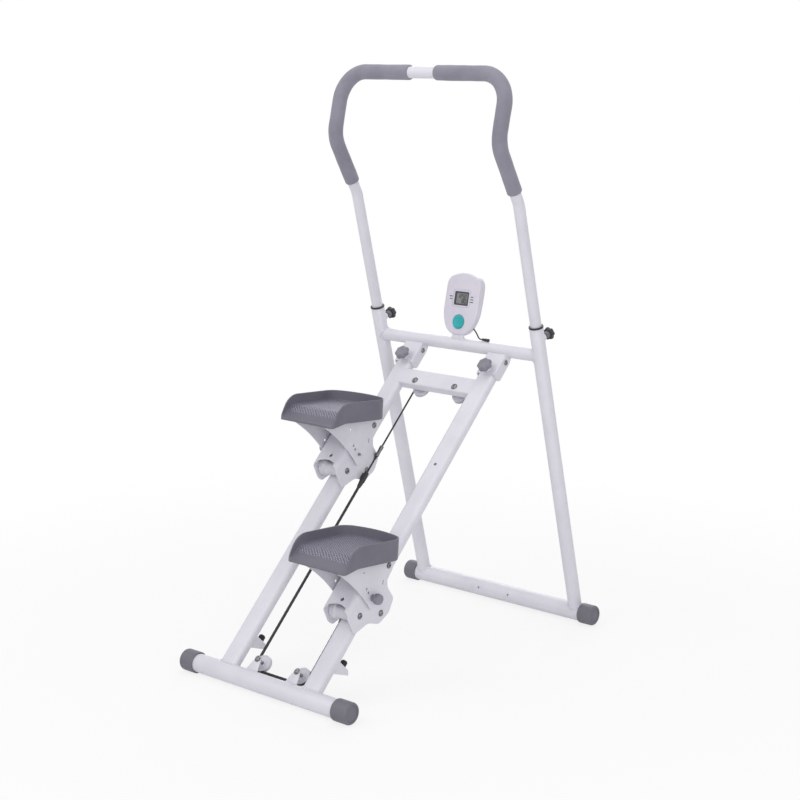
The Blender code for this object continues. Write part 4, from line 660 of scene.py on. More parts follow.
# Base tubes and caps
def base_tube(name, centre, length, holes=()):
    """A tube across the floor, with any holes drilled in its front."""
    drill = rod(0.0024, 0.012, 0.030)
    drills = [put(drill, facing((0, -1, 0.25)), centre + (x, 0, 0)) for x in holes]
    wall = pipe(BASE_RADIUS, BASE_RADIUS - BASE_WALL, -length / 2, length / 2, 64)
    piece(name, WHITE, [put(wall, ALONG_X, centre)], holes=drills)


def base_cap(name, side, centre, length, sleeve):
    """A cup pushed over a tube's end: its skirt has a rolled lip, its face is slightly crowned inside a shallow
    ring, and everything under the floor's level is pressed flat."""
    face = 0.0170
    across = np.linspace(0, face, 6)
    crown = columns(across, 0.0113 - 0.0012 * (across / face) ** 2)
    cup = [(0.0182, 0.0098), (0.0192, 0.0116), (CAP_RADIUS - 0.0040, 0.0118), (CAP_RADIUS - 0.0012, 0.0098),
           (CAP_RADIUS, 0.0066), (CAP_RADIUS, 0.0040 - sleeve), (CAP_RADIUS - 0.0004, -sleeve),
           (BASE_RADIUS + 0.0004, -sleeve), (BASE_RADIUS + CLEARANCE, CLEARANCE), (0, CLEARANCE)]
    profile = np.vstack([crown, softened(cup, 0.0012, 5)])
    points, quads, caps = put(lathe(profile, 72), facing((side, 0, 0)), centre + (side * length / 2, 0, 0))
    points[:, 2] = np.maximum(points[:, 2], 0)
    piece(name, GREY, [(points, quads, caps)])


base_tube("rear_base_tube", REAR_BASE, REAR_BASE_LENGTH, (-0.049, 0.049))
base_tube("front_base_tube", FRONT_BASE, FRONT_BASE_LENGTH)
for side, sign in SIDES.items():
    base_cap(f"rear_cap_{side}", sign, REAR_BASE, REAR_BASE_LENGTH, 0.028)
    base_cap(f"front_cap_{side}", sign, FRONT_BASE, FRONT_BASE_LENGTH, 0.032)


# Legs, their collars and knobs, and the crossbar
def foot_of(sign):
    """Where a leg's middle line meets the rear base tube's."""
    return REAR_BASE + (sign * LEG_SPACING, 0, 0)


def leg(side, sign):
    """A sleeve tube whose foot is coped to the base tube, z = sqrt(R^2 - y^2), with a bead of weld round that line
    and the clamp knob's nut behind its head."""
    outer = arc(around(64), LEG_RADIUS)
    y = outer[:, 1]
    cope, straight, bore = np.sqrt(BASE_RADIUS ** 2 - y ** 2), 0.06, 0.915
    rows = [(1, cope - COPE_SINK), (1, straight), (1, SLEEVE_LENGTH - 0.0006), (0.975, SLEEVE_LENGTH),
            (bore, SLEEVE_LENGTH), (bore, straight), (bore, cope - COPE_SINK)]
    tube = shell(np.stack([columns(*(outer * share).T, z) for share, z in rows]), closed=True)
    weld = bead(columns(*(outer * 1.06).T, np.sqrt(BASE_RADIUS ** 2 - (y * 1.06) ** 2) + COPE_SINK), 0.0022)
    nut = put(hex_nut(NUT_REACH, LEG_RADIUS - 0.001, LEG_RADIUS + 0.007), ALONG_Y,
              (0, 0, SLEEVE_LENGTH - CLAMP_DROP))
    piece(f"{side}_leg", WHITE, laid(LEG, foot_of(sign), tube, weld, nut))


def sleeve_collar(side, sign):
    """The bush in a sleeve's mouth: a rim that stands on the sleeve, and a plug inside it."""
    bore, rim, plug = HANDLE_RADIUS + 0.0004, 0.0183, 0.0157
    profile = [(bore, 0.0048), (rim, 0.0048), (rim, CLEARANCE), (plug, CLEARANCE), (plug, -0.026), (bore, -0.026)]
    bush = turned(profile, 0.0012, 56, True)
    piece(f"{side}_sleeve_collar", BLACK, laid(LEG, foot_of(sign) + UP_LEG * SLEEVE_LENGTH, bush))


def knob_parts(radius, boss, depth, stud):
    """A star knob's head, the boss behind it, which widens towards the head, and its threaded stud."""
    return (star_head(radius, 0.015),
            turned([(0, -depth), (boss, -depth), (boss + 0.0016, 0.001), (0, 0.001)], 0.0008, 40),
            turned([(0, -stud), (STUD_RADIUS, -stud), (STUD_RADIUS, 0), (0, 0)], 0.0005, 24))


def height_knob(side, sign):
    """The black star knob behind a sleeve, with its stud, and the grey boss between them."""
    centre = foot_of(sign) + UP_LEG * (SLEEVE_LENGTH - CLAMP_DROP) + BEHIND_LEG * 0.040
    head, boss, stud = laid(facing(BEHIND_LEG), centre, *knob_parts(0.0160, 0.0078, 0.0100, 0.0256))
    piece(f"{side}_height_knob", BLACK, [head, stud])
    piece(f"{side}_height_knob_boss", GREY, [boss], BODY_OF[f"{side}_height_knob"])


def crossbar():
    """A tube between the legs, its ends coped to them, x = a - sqrt(r^2 - u^2), with a bead of weld on each."""
    y, z = arc(around(64), CROSSBAR_RADIUS).T
    across = y * BEHIND_LEG[1] + z * BEHIND_LEG[2]
    end = LEG_SPACING - np.sqrt(LEG_RADIUS ** 2 - across ** 2) + COPE_SINK
    tube = shell(np.stack([columns(-end, y, z), columns(end, y, z)]))
    welds = [bead(columns(sign * (end - 0.0006), y * 1.05, z * 1.05), 0.0020) for sign in (1, -1)]
    piece("crossbar", WHITE, laid(LEVEL, CROSSBAR_CENTRE, tube, *welds))


for side, sign in SIDES.items():
    leg(side, sign)
    sleeve_collar(side, sign)
    height_knob(side, sign)
crossbar()

# Handlebar and foam grips
KICK_START = foot_of(1) + UP_LEG * (KICK_RISE / np.sin(LEG_ANGLE))
KICK_END = np.array([LEG_SPACING, 0.083, KICK_START[2] + 0.143])
TOP_CORNER = KICK_END + (0, 0.038, 0.1575)
KICK_BEND, TOP_BEND = 0.075, 0.072
KICK_WAY = (KICK_END - KICK_START) / np.linalg.norm(KICK_END - KICK_START)


def handlebar():
    """One bent tube from inside one sleeve to inside the other."""
    inside = foot_of(1) + UP_LEG * (SLEEVE_LENGTH - 0.30)
    middle = TOP_CORNER * (0, 1, 1)
    right = arced([inside, KICK_START, KICK_END, TOP_CORNER, middle], [KICK_BEND, KICK_BEND, TOP_BEND], 0.06)[:-1]
    line = np.vstack([right, right[::-1] * (-1, 1, 1)])
    piece("handlebar", WHITE, [bar(line, HANDLE_RADIUS, 56)])


def foam_grip(side, sign):
    """A foam sleeve along the bent tube: its radius has rounded ends, slow swells where the foam was pushed on,
    and low lumps that wind round it."""
    start, end = KICK_START + KICK_WAY * 0.032, np.array([0.040, *TOP_CORNER[1:]])
    line = arced([start, KICK_END, TOP_CORNER, end], [KICK_BEND, TOP_BEND], 0.04)
    reach, sunk = eased_reach(length_of(line), 0.0042, 0.0035)
    swell = 0.00016 * np.sin(reach * 61 + sign) + 0.00010 * np.sin(reach * 143 + 2 * sign)
    angle, far = around(48)[None], reach[:, None]
    lumps = 0.00007 * np.sin(3 * angle + far * 37) + 0.00005 * np.sin(5 * angle - far * 83)
    radius = GRIP_RADIUS - sunk[:, None] + swell[:, None] + lumps
    made = piece(f"{side}_grip", FOAM, [put(bar(along(line, reach), radius, 48), np.diag([sign, 1, 1]))])


handlebar()
for side, sign in SIDES.items():
    foam_grip(side, sign)

# Ladder
def on_rail(sign, t=0.0, h=0.0):
    """A place on one rail's middle line, up the rail and square to it."""
    return on_ladder(sign * RAIL_SPACING, t, h)


def on_pulley(sign, t=0.0, h=0.0):
    """A place on the line between one side's two pulleys."""
    return on_ladder(sign * PULLEY_X, t, h)


def rail(side, sign):
    """A rounded rectangular tube: its foot is coped to the base tube, its head is a half round seen from the side,
    t = T + sqrt(r^2 - h^2), and a folded bracket for the bumper stands behind its foot."""
    half, turn = np.array([RAIL_HALF_WIDTH, RAIL_HALF_DEPTH]), np.linspace(0, np.pi / 2, 9)
    outer = np.vstack([arc(turn + k * np.pi / 2, RAIL_CORNER, (half - RAIL_CORNER) * corner)
                       for k, corner in enumerate(((1, -1), (1, 1), (-1, 1), (-1, -1)), -1)])
    inner = outer * ((half - RAIL_WALL) / half)

    def foot(line):
        """The section coped to the base tube, t = sqrt(R^2 - h^2)."""
        return columns(line[:, 0], np.sqrt(BASE_RADIUS ** 2 - line[:, 1] ** 2), line[:, 1])

    def head(line):
        """The section at the half round head."""
        rise = np.sqrt(np.maximum(RAIL_HALF_DEPTH ** 2 - line[:, 1] ** 2, 0))
        return columns(line[:, 0], PIVOT_T + rise, line[:, 1])

    tube = shell(np.stack([foot(outer), head(outer), head(inner), foot(inner)]), closed=True)
    weld = bead(foot(outer) * (1.03, 1, 1.05) + (0, 0.0006, 0), 0.0021)
    walls = channel(0.015, 0.078, 0.113, 0.003, SHEET, 14, 5)
    low = [columns(*line.T, np.interp(line[:, 1], (0.078, 0.103, 0.113), (-0.0125, -0.066, -0.056))) for line in walls]
    high = [columns(*line.T, -RAIL_HALF_DEPTH + 0.0006) for line in walls]
    bracket = shell(np.stack([low[0], *high, low[1]], 1))
    holes = [put(rod(0.0040, 0, 0.030), LADDER, on_rail(sign, t)) for t in (PLUG_T, LOCK_T)]
    pivot = put(rod(0.0044, -0.04, 0.04), ALONG_X, on_rail(sign, PIVOT_T))
    piece(f"{side}_rail", WHITE, laid(LADDER, on_rail(sign), tube, weld, bracket), holes=[*holes, pivot])


def rail_plug(side, sign):
    """The dark plug in a rail's front."""
    front = RAIL_HALF_DEPTH
    plug = turned([(0, front - 0.0024), (0.0038, front - 0.0024), (0.0038, front + 0.0002),
                   (0.0022, front + 0.0008), (0, front + 0.0009)], 0.0005, 28)
    piece(f"{side}_rail_plug", GREY, laid(LADDER, on_rail(sign, PLUG_T), plug), "ladder_frame")


def bumper(side, sign):
    """A domed rubber stop on the bracket at a rail's foot."""
    profile = [(0, 0.0160), (0.0050, 0.0160), (0.0080, 0.0125), (0.0080, 0.0003), (0.0024, 0.0003),
               (0.0024, -0.0026), (0, -0.0026)]
    stop = put(turned(profile, 0.0014, 40), ALONG_Y, (0, 0.113, -0.048))
    piece(f"{side}_bumper", RUBBER, laid(LADDER, on_rail(sign), stop))


def hinge_bracket(side, sign):
    """A channel round the front and sides of a rail's head, its cheeks cut to a rounded outline and coped to the
    crossbar, with a bead of weld along the cope and the lock knob's nut in front."""
    front, half = RAIL_HALF_DEPTH + CLEARANCE + SHEET, RAIL_HALF_WIDTH + 0.0006 + SHEET
    top, behind = CROSSBAR_ON_LADDER[1:]
    outline = arced([(BRACKET_FOOT_T, front), (BRACKET_FOOT_T, -0.0145), (PIVOT_T + 0.00725, -0.0145),
                     (top, behind - CROSSBAR_RADIUS), (top, front)], (0.010, 0.010, 0.010, 0.0004, 0.0004), 0.12, True)
    outer, inner = channel(half, -0.016, front, 0.0038, SHEET, 2, 7)
    sheet = put(folded(outer, inner, BRACKET_FOOT_T - 0.001, top - 0.001), UPRIGHT)
    nut = put(hex_nut(NUT_REACH, front - 0.0006, front + 0.007), place=(0, LOCK_T, 0))
    steps, reach = 40, CROSSBAR_RADIUS + COPE_SINK
    turn = np.linspace(-0.45 * np.pi, 0.12 * np.pi, steps)
    round_bar = np.abs(turn - turn[0]) * CROSSBAR_RADIUS
    fall = np.sin(np.linspace(0.05, np.pi - 0.05, steps)) ** 0.3
    swell = 0.0017 * (1 + WELD_SWELL * np.cos(2 * np.pi * round_bar / WELD_PITCH)) * fall
    welds = [bar(columns(x, top - reach * np.cos(turn), behind + reach * np.sin(turn)), swell, 10, (1, 0, 0))
             for x in (-half, half)]
    cope, place = cross_drill(CROSSBAR_RADIUS + CLEARANCE, top, behind), on_rail(sign)
    piece(f"{side}_hinge_bracket", WHITE, laid(LADDER, place, sheet, nut, *welds), edge=SHEET_EDGE,
          within=laid(LADDER, place, prism(outline, 0.05)), cuts=laid(LADDER, place, cope))


def cross_bolt(grip):
    """A bolt along X with a domed socket head at each end."""
    heads = [put(bolt_head(), facing((end, 0, 0)), (end * (grip - 0.0003), 0, 0)) for end in (1, -1)]
    return [put(rod(0.0040, -grip, grip, 20), ALONG_X), *heads]


def pivot_bolt(side, sign):
    """The bolt that a rail's head turns on."""
    shapes = cross_bolt(RAIL_HALF_WIDTH + SHEET + 0.0012)
    piece(f"{side}_pivot_bolt", STEEL, laid(LADDER, on_rail(sign, PIVOT_T), *shapes))


def lock_knob(side, sign):
    """The grey star knob in front of a hinge."""
    shapes = knob_parts(0.0195, 0.0098, 0.0040, 0.0163)
    piece(f"{side}_lock_knob", KNOB, laid(LADDER, on_rail(sign, LOCK_T, 0.027), *shapes))


def cross_plate():
    """A channel between the rails, open to the rear, its ends coped to their rounded corners,
    x = w + r - sqrt(r^2 - u^2), with a bead of weld on each."""
    reach, seam = RAIL_SPACING - RAIL_HALF_WIDTH - 0.0001, CROSS_PLATE_T + 0.0232
    outer, inner = channel(0.023, -0.009, 0.0132, 0.0045, SHEET, 8, 7)

    def end(way, line):
        """One wall's line at one end, coped to the rail."""
        rise = np.clip(line[:, 1] - RAIL_HALF_DEPTH + RAIL_CORNER, 0, RAIL_CORNER)
        x = reach + RAIL_CORNER - np.sqrt(RAIL_CORNER ** 2 - rise ** 2)
        return columns(way * x, line[:, 0] + CROSS_PLATE_T, line[:, 1])

    sheet = shell(np.stack([end(-1, outer), end(1, outer), end(1, inner), end(-1, inner)], 1))
    seams = [straight_bead((x, seam, -0.007), (x, seam, 0.010)) for x in (-reach, reach)]
    piece("cross_plate", WHITE, laid(LADDER, FRONT_BASE, sheet, *seams), edge=SHEET_EDGE)


def pulley_bolt(name, sign, t, front):
    """An axle square to the ladder, from its head in front through the pulley to its nut."""
    back = CABLE_H - 0.0053
    shapes = [rod(0.0039, back - 0.002, front, 20), hex_nut(0.0062, back - 0.004, back),
              pipe(0.0086, 0.0040, front, front + 0.0008, 40, 0.0002),
              put(bolt_head(), place=(0, 0, front + 0.0006))]
    piece(name, STEEL, laid(LADDER, on_pulley(sign, t), *shapes), "ladder_frame")


def pulley_tab(side, sign):
    """A plate standing on the front base tube, narrowing to a round head."""
    foot, shoulder = 0.021, 0.0168
    head = arc(np.linspace(0, np.pi, 25), 0.0090, (0, BOTTOM_PULLEY_T))
    outline = np.vstack([[(-foot, 0.004), (foot, 0.004), (shoulder, 0.027)], head, [(-shoulder, 0.027)]])
    seam = straight_bead((-foot, 0.0226, 0.0006), (foot, 0.0226, 0.0006), 0.0020)
    piece(f"{side}_pulley_tab", WHITE, laid(LADDER, on_pulley(sign), slab(outline, -SHEET, 0), seam))


def pulley(name, sign, t):
    """A grooved nylon wheel: the groove is the lower half of a circle that the rope lies in."""
    turn, radius = np.linspace(0.15, np.pi - 0.15, 13), 0.0041
    groove = columns(PULLEY_PITCH - radius * np.sin(turn) + 0.0002, radius * np.cos(turn))
    flank = np.array([(0.0044, 0.0050), (0.0085, 0.0050), (0.0095, 0.0042), (0.0165, 0.0042), (0.0175, 0.0050),
                      (0.0213, 0.0050), (0.0215, 0.0046)])
    wheel = lathe(np.vstack([flank, groove, flank[::-1] * (1, -1)]), 56, closed=True)
    piece(name, NYLON, laid(LADDER, on_pulley(sign, t, CABLE_H), wheel))


def drive_cable():
    """One closed loop round four pulleys: a twisted rope below the carriages, whose radius is
    R (1 + 0.07 cos(3a - ks)), and a thin coated cable above them."""
    spacing, lay, ring, turn = 0.0016, 0.014, 18, np.linspace(0, np.pi / 2, 25)
    wheels = (1, TOP_PULLEY_T), (-1, TOP_PULLEY_T), (-1, BOTTOM_PULLEY_T), (1, BOTTOM_PULLEY_T)
    runs = [columns(*arc(turn + k * np.pi / 2, PULLEY_PITCH, (way * PULLEY_X, t)).T, CABLE_H)
            for k, (way, t) in enumerate(wheels)]
    line = np.vstack([*runs, runs[0][:1]])
    length = length_of(line)
    reach = np.arange(0, length, spacing)[:int(length / spacing) - 1]
    centre = along(line, reach)
    clamp = np.where(centre[:, 0] < 0, CARRIAGE_T["left"], CARRIAGE_T["right"]) + 0.012
    thick = 1 / (1 + np.exp(np.clip((centre[:, 1] - clamp) / 0.0006, -30, 30)))
    strands = 1 - np.cos(3 * around(ring)[None] - reach[:, None] * 2 * np.pi / lay)
    twist = 1 - 0.07 * thick[:, None] * strands / 2
    radius = (WIRE_RADIUS + (ROPE_RADIUS - WIRE_RADIUS) * thick)[:, None] * twist
    piece("drive_cable", ROPE, laid(LADDER, FRONT_BASE, bar(centre, radius, ring, (0, 0, 1), True)))


for side, sign in SIDES.items():
    for part in (rail, rail_plug, bumper, hinge_bracket, pivot_bolt, lock_knob, pulley_tab):
        part(side, sign)
    pulley(f"{side}_top_pulley", sign, TOP_PULLEY_T)
    pulley(f"{side}_bottom_pulley", sign, BOTTOM_PULLEY_T)
    pulley_bolt(f"{side}_top_axle", sign, TOP_PULLEY_T, 0.0132)
    pulley_bolt(f"{side}_bottom_axle", sign, BOTTOM_PULLEY_T, 0.0)
cross_plate()
drive_cable()

# Carriages
PLATE_OUTLINE = arced([(-0.012, 0.0400), (-0.0290, 0.027), (-0.041, -0.015), (0.003, -0.037), (0.021, -0.072),
                       (0.060, -0.084), (0.094, -0.073), (0.101, -0.034), (0.122, -0.014), (0.150, -0.004),
                       (0.149, 0.021), (0.104, 0.0400)],
                      (0.012, 0.016, 0.007, 0.030, 0.020, 0.030, 0.012, 0.026, 0.022, 0.007, 0.012, 0.020), 0.13, True)
WEB_FRONT, WEB_BEND, FAR_TOE = 0.0400, 0.013, 0.0305


def from_axle(side, t=0.0, h=0.0):
    """A place measured from a carriage's front axle."""
    return on_rail(SIDES[side], CARRIAGE_T[side] + t, ROLLER_H + h)


def carriage_body(side):
    """A channel over the rail. Its two side plates follow the outline of a boot: wide round the front roller, swept
    in behind it, and out again to the rear roller and the hinge. The web between them has an arched lower edge, and
    is cut away in a rounded bay towards the hinge. The left plate's toe is round about the roller."""
    outer, inner = channel(PLATE_OUTSIDE, -0.095, WEB_FRONT, WEB_BEND, SHEET, 2, 11)
    sheet = put(folded(outer, inner, -0.06, 0.17), UPRIGHT)
    slit, sharp = PLATE_INSIDE - 0.004, (0.0002,) * 3
    right = [(0.027, -0.006), (0.027, -0.021), (slit, -0.021), (slit, -0.2)]
    corners = [(-x, t) for x, t in right[::-1]] + [(0, 0.0025)] + right
    arch = arced(corners, (*sharp, 0.006, 0.045, 0.006, *sharp), 0.12, True)
    bay = arced([(-0.030, 0.20), (-0.030, 0.090), (0.030, 0.090), (0.030, 0.20)], (0.0002, 0.010, 0.010, 0.0002),
                0.12, True)
    cuts = [slab(outline, WEB_FRONT - WEB_BEND, WEB_FRONT + 0.01, 0, 2) for outline in (arch, bay)]
    round_toe = arc(np.radians(np.linspace(-60, -205, 30)), FAR_TOE, (-0.001, -0.007))
    toe = np.vstack([[(-0.07, -0.07), (0.019, -0.07)], round_toe, [(-0.020, 0.030), (-0.004, 0.046), (-0.07, 0.046)]])
    cuts.append(put(prism(toe, 0.02), place=(-PLATE_INSIDE, 0, 0)))
    holes = [cross_drill(PIN_HOLE, PIN_T, PIN_H), put(rod(0.0050, 0.030, 0.050, 32), place=(0.0040, 0.0125, 0))]
    place = from_axle(side)
    piece(f"{side}_carriage_body", WHITE, laid(LADDER, place, sheet), edge=SHEET_EDGE,
          within=laid(LADDER, place, prism(PLATE_OUTLINE, 0.06)), cuts=laid(LADDER, place, *cuts),
          holes=laid(LADDER, place, *holes))


def carriage_bolt(name, side, t, h, grip):
    """A bolt through both side plates, a washer under each head."""
    washer = pipe(0.0080, 0.0042, -0.0005, 0.0005, 40, 0.0002)
    washers = [put(washer, facing((end, 0, 0)), (end * (grip - 0.0005), 0, 0)) for end in (1, -1)]
    piece(name, STEEL, laid(LADDER, from_axle(side, t, h), *cross_bolt(grip), *washers), f"{side}_carriage")


def roller(name, side, t, h):
    """A diabolo roller: a straight waist on the rail's flat, and flanks that follow its rounded corners,
    r = c - sqrt(q^2 - (x - w)^2), out to a rounded rim."""
    shoulder, radius = RAIL_CORNER + 0.0170, 0.0225
    turn = np.linspace(0, np.arccos((shoulder - radius) / RAIL_CORNER), 9)
    flank = columns(shoulder - RAIL_CORNER * np.cos(turn), 0.0153 + RAIL_CORNER * np.sin(turn))
    rim = softened([flank[-1], (radius, 0.0330), (0.0222, 0.0360), (0.0150, 0.0360), (0.0140, 0.0345),
                    (0.0075, 0.0345), (0.0068, 0.0360), (0.0044, 0.0360)], 0.0011, 5)
    half = np.vstack([flank, rim[1:]])
    wheel = put(lathe(np.vstack([half[::-1], half * (1, -1)]), 56, closed=True), ALONG_X)
    piece(name, NYLON, laid(LADDER, from_axle(side, t, h), wheel))


def cable_ferrule(side, sign):
    """The rope's moulded end: a tapered black sleeve with two collars, held to the inner plate by a lug."""
    x, h = -sign * (RAIL_SPACING - CABLE_X), CABLE_H - ROLLER_H
    profile = [(0.0038, -0.010), (0.0046, -0.010), (0.0060, 0.002), (0.0060, 0.006), (0.0070, 0.0065),
               (0.0070, 0.026), (0.0060, 0.0265), (0.0060, 0.034), (0.0038, 0.034)]
    sleeve = put(turned(profile, 0.0012, 36, True), ALONG_Y, (x, 0, h))
    ends = sorted((-sign * (PLATE_OUTSIDE + CLEARANCE), x + sign * 0.0051))
    lug = slab(soft_rectangle(ends, (0.014, 0.030), 0.001, 4), h - 0.004, h + 0.004)
    piece(f"{side}_cable_ferrule", BLACK, laid(LADDER, from_axle(side), sleeve, lug))


def cable_eye(side, sign):
    """The steel eye screwed to the inner plate, and the crimped sleeve that the upper cable comes out of."""
    x, h = -sign * (RAIL_SPACING - CABLE_X), CABLE_H - ROLLER_H
    bolt = put(bolt_head(0.0060, 0.0030, 0.0022), facing((-sign, 0, 0)),
               (-sign * (PLATE_OUTSIDE + CLEARANCE), 0.085, -0.063))
    profile = [(0.0040, 0.0850), (0.0052, 0.0850), (0.0052, 0.0925), (0.0047, 0.0950), (0.0047, 0.1045),
               (0.0052, 0.1070), (0.0052, 0.1150), (0.0040, 0.1150)]
    crimp = put(turned(profile, 0.0008, 32, True), ALONG_Y, (x, 0, h))
    ends = sorted((-sign * (PLATE_OUTSIDE + 0.0012), x + sign * 0.0046))
    lug = slab(soft_rectangle(ends, (0.086, 0.093), 0.001, 4), -0.0600, h + 0.003)
    piece(f"{side}_cable_eye", STEEL, laid(LADDER, from_axle(side), bolt, crimp, lug))


# Pedals, level in the room, with places in (y, z) from the hinge
def from_hinge(t, h):
    """A place given on the ladder from the front axle, as the level pedal's (y, z) from its hinge."""
    return np.array([t - HINGE_T, h - HINGE_H]) @ LADDER[1:, 1:].T


def under_tray(y):
    """A place just under the tray's sole, in (y, z) from the hinge: the sole falls from heel to toe."""
    return np.array([y, TRAY_RISE - y * np.tan(TRAY_TILT) - CLEARANCE])


def pedal_bracket(side):
    """Two cheeks folded down from the plate under the tray. Each cheek's front edge is one long concave sweep,
    (1-s)^2 A + 2s(1-s) B + s^2 C, and its rear edge steps in round the carriage and opens for the pin. Three index
    holes lie on a circle about the hinge, and three small drills make a slot."""
    lip, hollow, tip = np.array([-0.1830, 0.0262]), np.array([-0.1120, -0.0200]), from_hinge(0.0270, -0.0120)
    s = np.linspace(0, 1, 41)[:, None]
    sweep = (1 - s) ** 2 * lip + 2 * s * (1 - s) * hollow + s ** 2 * tip
    rear = arced([under_tray(0.0160), (0.0160, -0.0080), from_hinge(0.092, -0.014), from_hinge(0.052, -0.012),
                  from_hinge(0.0244, -0.0166), lip], (0.012, 0.030, 0.006, 0.006), 0.12)[:-1]
    outline = np.vstack([rear, sweep[::-1], [under_tray(TRAY_HEEL + TRAY_APRON * 1.2)]])
    pin = from_hinge(PIN_T, PIN_H)
    way = np.array([from_hinge(PIN_T + t, PIN_H + h)
                    for t, h in ((-PIN_HOLE, 0), (-PIN_HOLE, -0.030), (0.0121, -0.030), (PIN_HOLE, 0))])
    outer, inner = channel(CHEEK_OUTSIDE, -0.165, -0.0003, 0.0045, SHEET, 2, 7)
    sheet = put(folded(outer, inner, -0.21, 0.04), UPRIGHT)
    index = arc(LADDER_ANGLE + np.radians((170.0, 162.0, 133.5)), np.hypot(*pin))
    slot = [from_hinge(0.096 + r, -0.0033 + 0.6 * r) for r in (-0.0028, 0, 0.0028)]
    holes = [cross_drill(0.0032, *spot) for spot in index] + [cross_drill(0.0020, *spot) for spot in slot]
    hinge = from_axle(side, HINGE_T, HINGE_H)
    piece(f"{side}_pedal_bracket", WHITE, laid(TRAY_AXES, hinge + (0, 0, TRAY_RISE), sheet), edge=SHEET_EDGE,
          within=laid(LEVEL, hinge, prism(outline, 0.07)), holes=laid(LEVEL, hinge, *holes),
          cuts=laid(LEVEL, hinge, cross_drill(PIN_HOLE, *pin), prism(way, 0.06)))


def side_view(corners, radii, y):
    """The height of a side view whose corners are arcs, at each distance y from the hinge."""
    line = arced(corners, radii, 0.04)
    return np.interp(y, line[:, 0], line[:, 1])


def deck(y):
    """The tread is flat, and over the heel an apron rolls down into a lip."""
    return side_view([(TRAY_HEEL - TRAY_APRON, -0.0045), (TRAY_HEEL + 0.004, -0.0035),
                      (TRAY_HEEL + TRAY_APRON, TRAY_FLOOR), (0.2, TRAY_FLOOR)], (0.015, 0.030), y)


def sole(y):
    """The underside: level, and bent down under the apron."""
    return side_view([(TRAY_HEEL - TRAY_APRON, -0.0100), (TRAY_HEEL + 0.004, -0.0090), (TRAY_HEEL + TRAY_APRON, 0),
                      (0.2, 0)], (0.025, 0.050), y)


def tray_rib(x):
    """An upright web under the deck, between the hollow's roof and the sole."""
    y = np.linspace(TRAY_HEEL + 0.016, TRAY_TOE - 0.0135, 60)
    low = columns(y, np.maximum(sole(y) + 0.0004, -0.02))
    high = columns(y, deck(y) - TRAY_WALL + 0.0006)
    rib = slab(np.vstack([low, high[::-1]]), -TRAY_WALL / 2, TRAY_WALL / 2, 0, 2)
    return put(rib, [[0, 0, 1], [1, 0, 0], [0, 1, 0]], (x, 0, 0))


def tray_shell():
    """The tray's outline is one closed line with a crowned toe. On every ray from the middle the deck runs out to a
    fillet, the wall climbs to a rolled rim w(y) and falls outside to the sole, and under the deck it is hollow."""
    heel_half = TRAY_HALF_WIDTH - (TRAY_SHOULDER - TRAY_HEEL) * 0.021
    right = [(heel_half, TRAY_HEEL), (TRAY_HALF_WIDTH, TRAY_SHOULDER)]
    outline = even_outline([*right, (0, TRAY_TOE), *((-x, y) for x, y in right[::-1])],
                           (0.008, 0.040, 0.200, 0.040, 0.008), 0.05, 400)
    inward, middle = inward_of(outline), np.array([0, -0.085])
    rim = side_view([(TRAY_HEEL - 0.010, -0.0250), (TRAY_HEEL + 0.0285, TRAY_HEIGHT), (0.2, TRAY_HEIGHT)], (0.050,),
                    outline[:, 1])
    wall = np.maximum(rim - deck(outline[:, 1]), 0)

    def ring(depth, height, share=1.0):
        """The outline moved in by a depth and drawn towards the middle, at the height that its y gives."""
        flat = middle + (outline + inward * depth - middle) * share
        return columns(*flat.T, height(flat[:, 1]))

    rows = [ring(0.0066, deck, share) for share in np.linspace(0.02, 1, 46)]
    for depth, rise in ((0.0050, 0.0004), (0.0041, 0.0012), (0.0036, 0.0026), (TRAY_WALL, 0.0042), (TRAY_WALL, 0.0120)):
        rows.append(ring(depth, lambda y, rise=rise: deck(y) + np.minimum(rise, wall * 0.96)))
    for depth, drop in ((TRAY_WALL, 0.0014), (0.0032, 0.0005), (0.0026, 0.0001), (0.0018, 0.0), (0.0009, 0.0)):
        rows.append(ring(depth, lambda y, drop=drop: deck(y) + wall - np.minimum(drop, wall * 0.02)))
    for depth, drop in ((0.0003, 0.0004), (0.0, 0.0013)):
        rows.append(ring(depth, lambda y, drop=drop: deck(y) + wall - drop))
    for depth, rise in ((0.0, 0.0013), (0.0004, 0.0004), (0.0013, 0.0)):
        rows.append(ring(depth, lambda y, rise=rise: sole(y) + rise))
    inside = outline + inward * TRAY_WALL
    inside[:, 1] = np.maximum(inside[:, 1], TRAY_HEEL + TRAY_WALL * 5)
    edge = rows[-1][:, :2]
    for share in (0.35, 0.7, 1.0):
        flat = edge + (inside - edge) * share
        rows.append(columns(*flat.T, sole(flat[:, 1])))

    def roof(y):
        """The hollow's roof: the deck, a wall's thickness lower."""
        return deck(y - TRAY_WALL / 2) - TRAY_WALL

    rows.append(columns(*inside.T, np.maximum(roof(inside[:, 1]) - 0.0020, sole(inside[:, 1]))))
    for share in (0.97, 0.9, 0.8, 0.7, 0.6, 0.5, 0.3, 0.1, 0.02):
        flat = middle + (inside - middle) * share
        rows.append(columns(*flat.T, roof(flat[:, 1])))
    return shell(np.stack(rows))


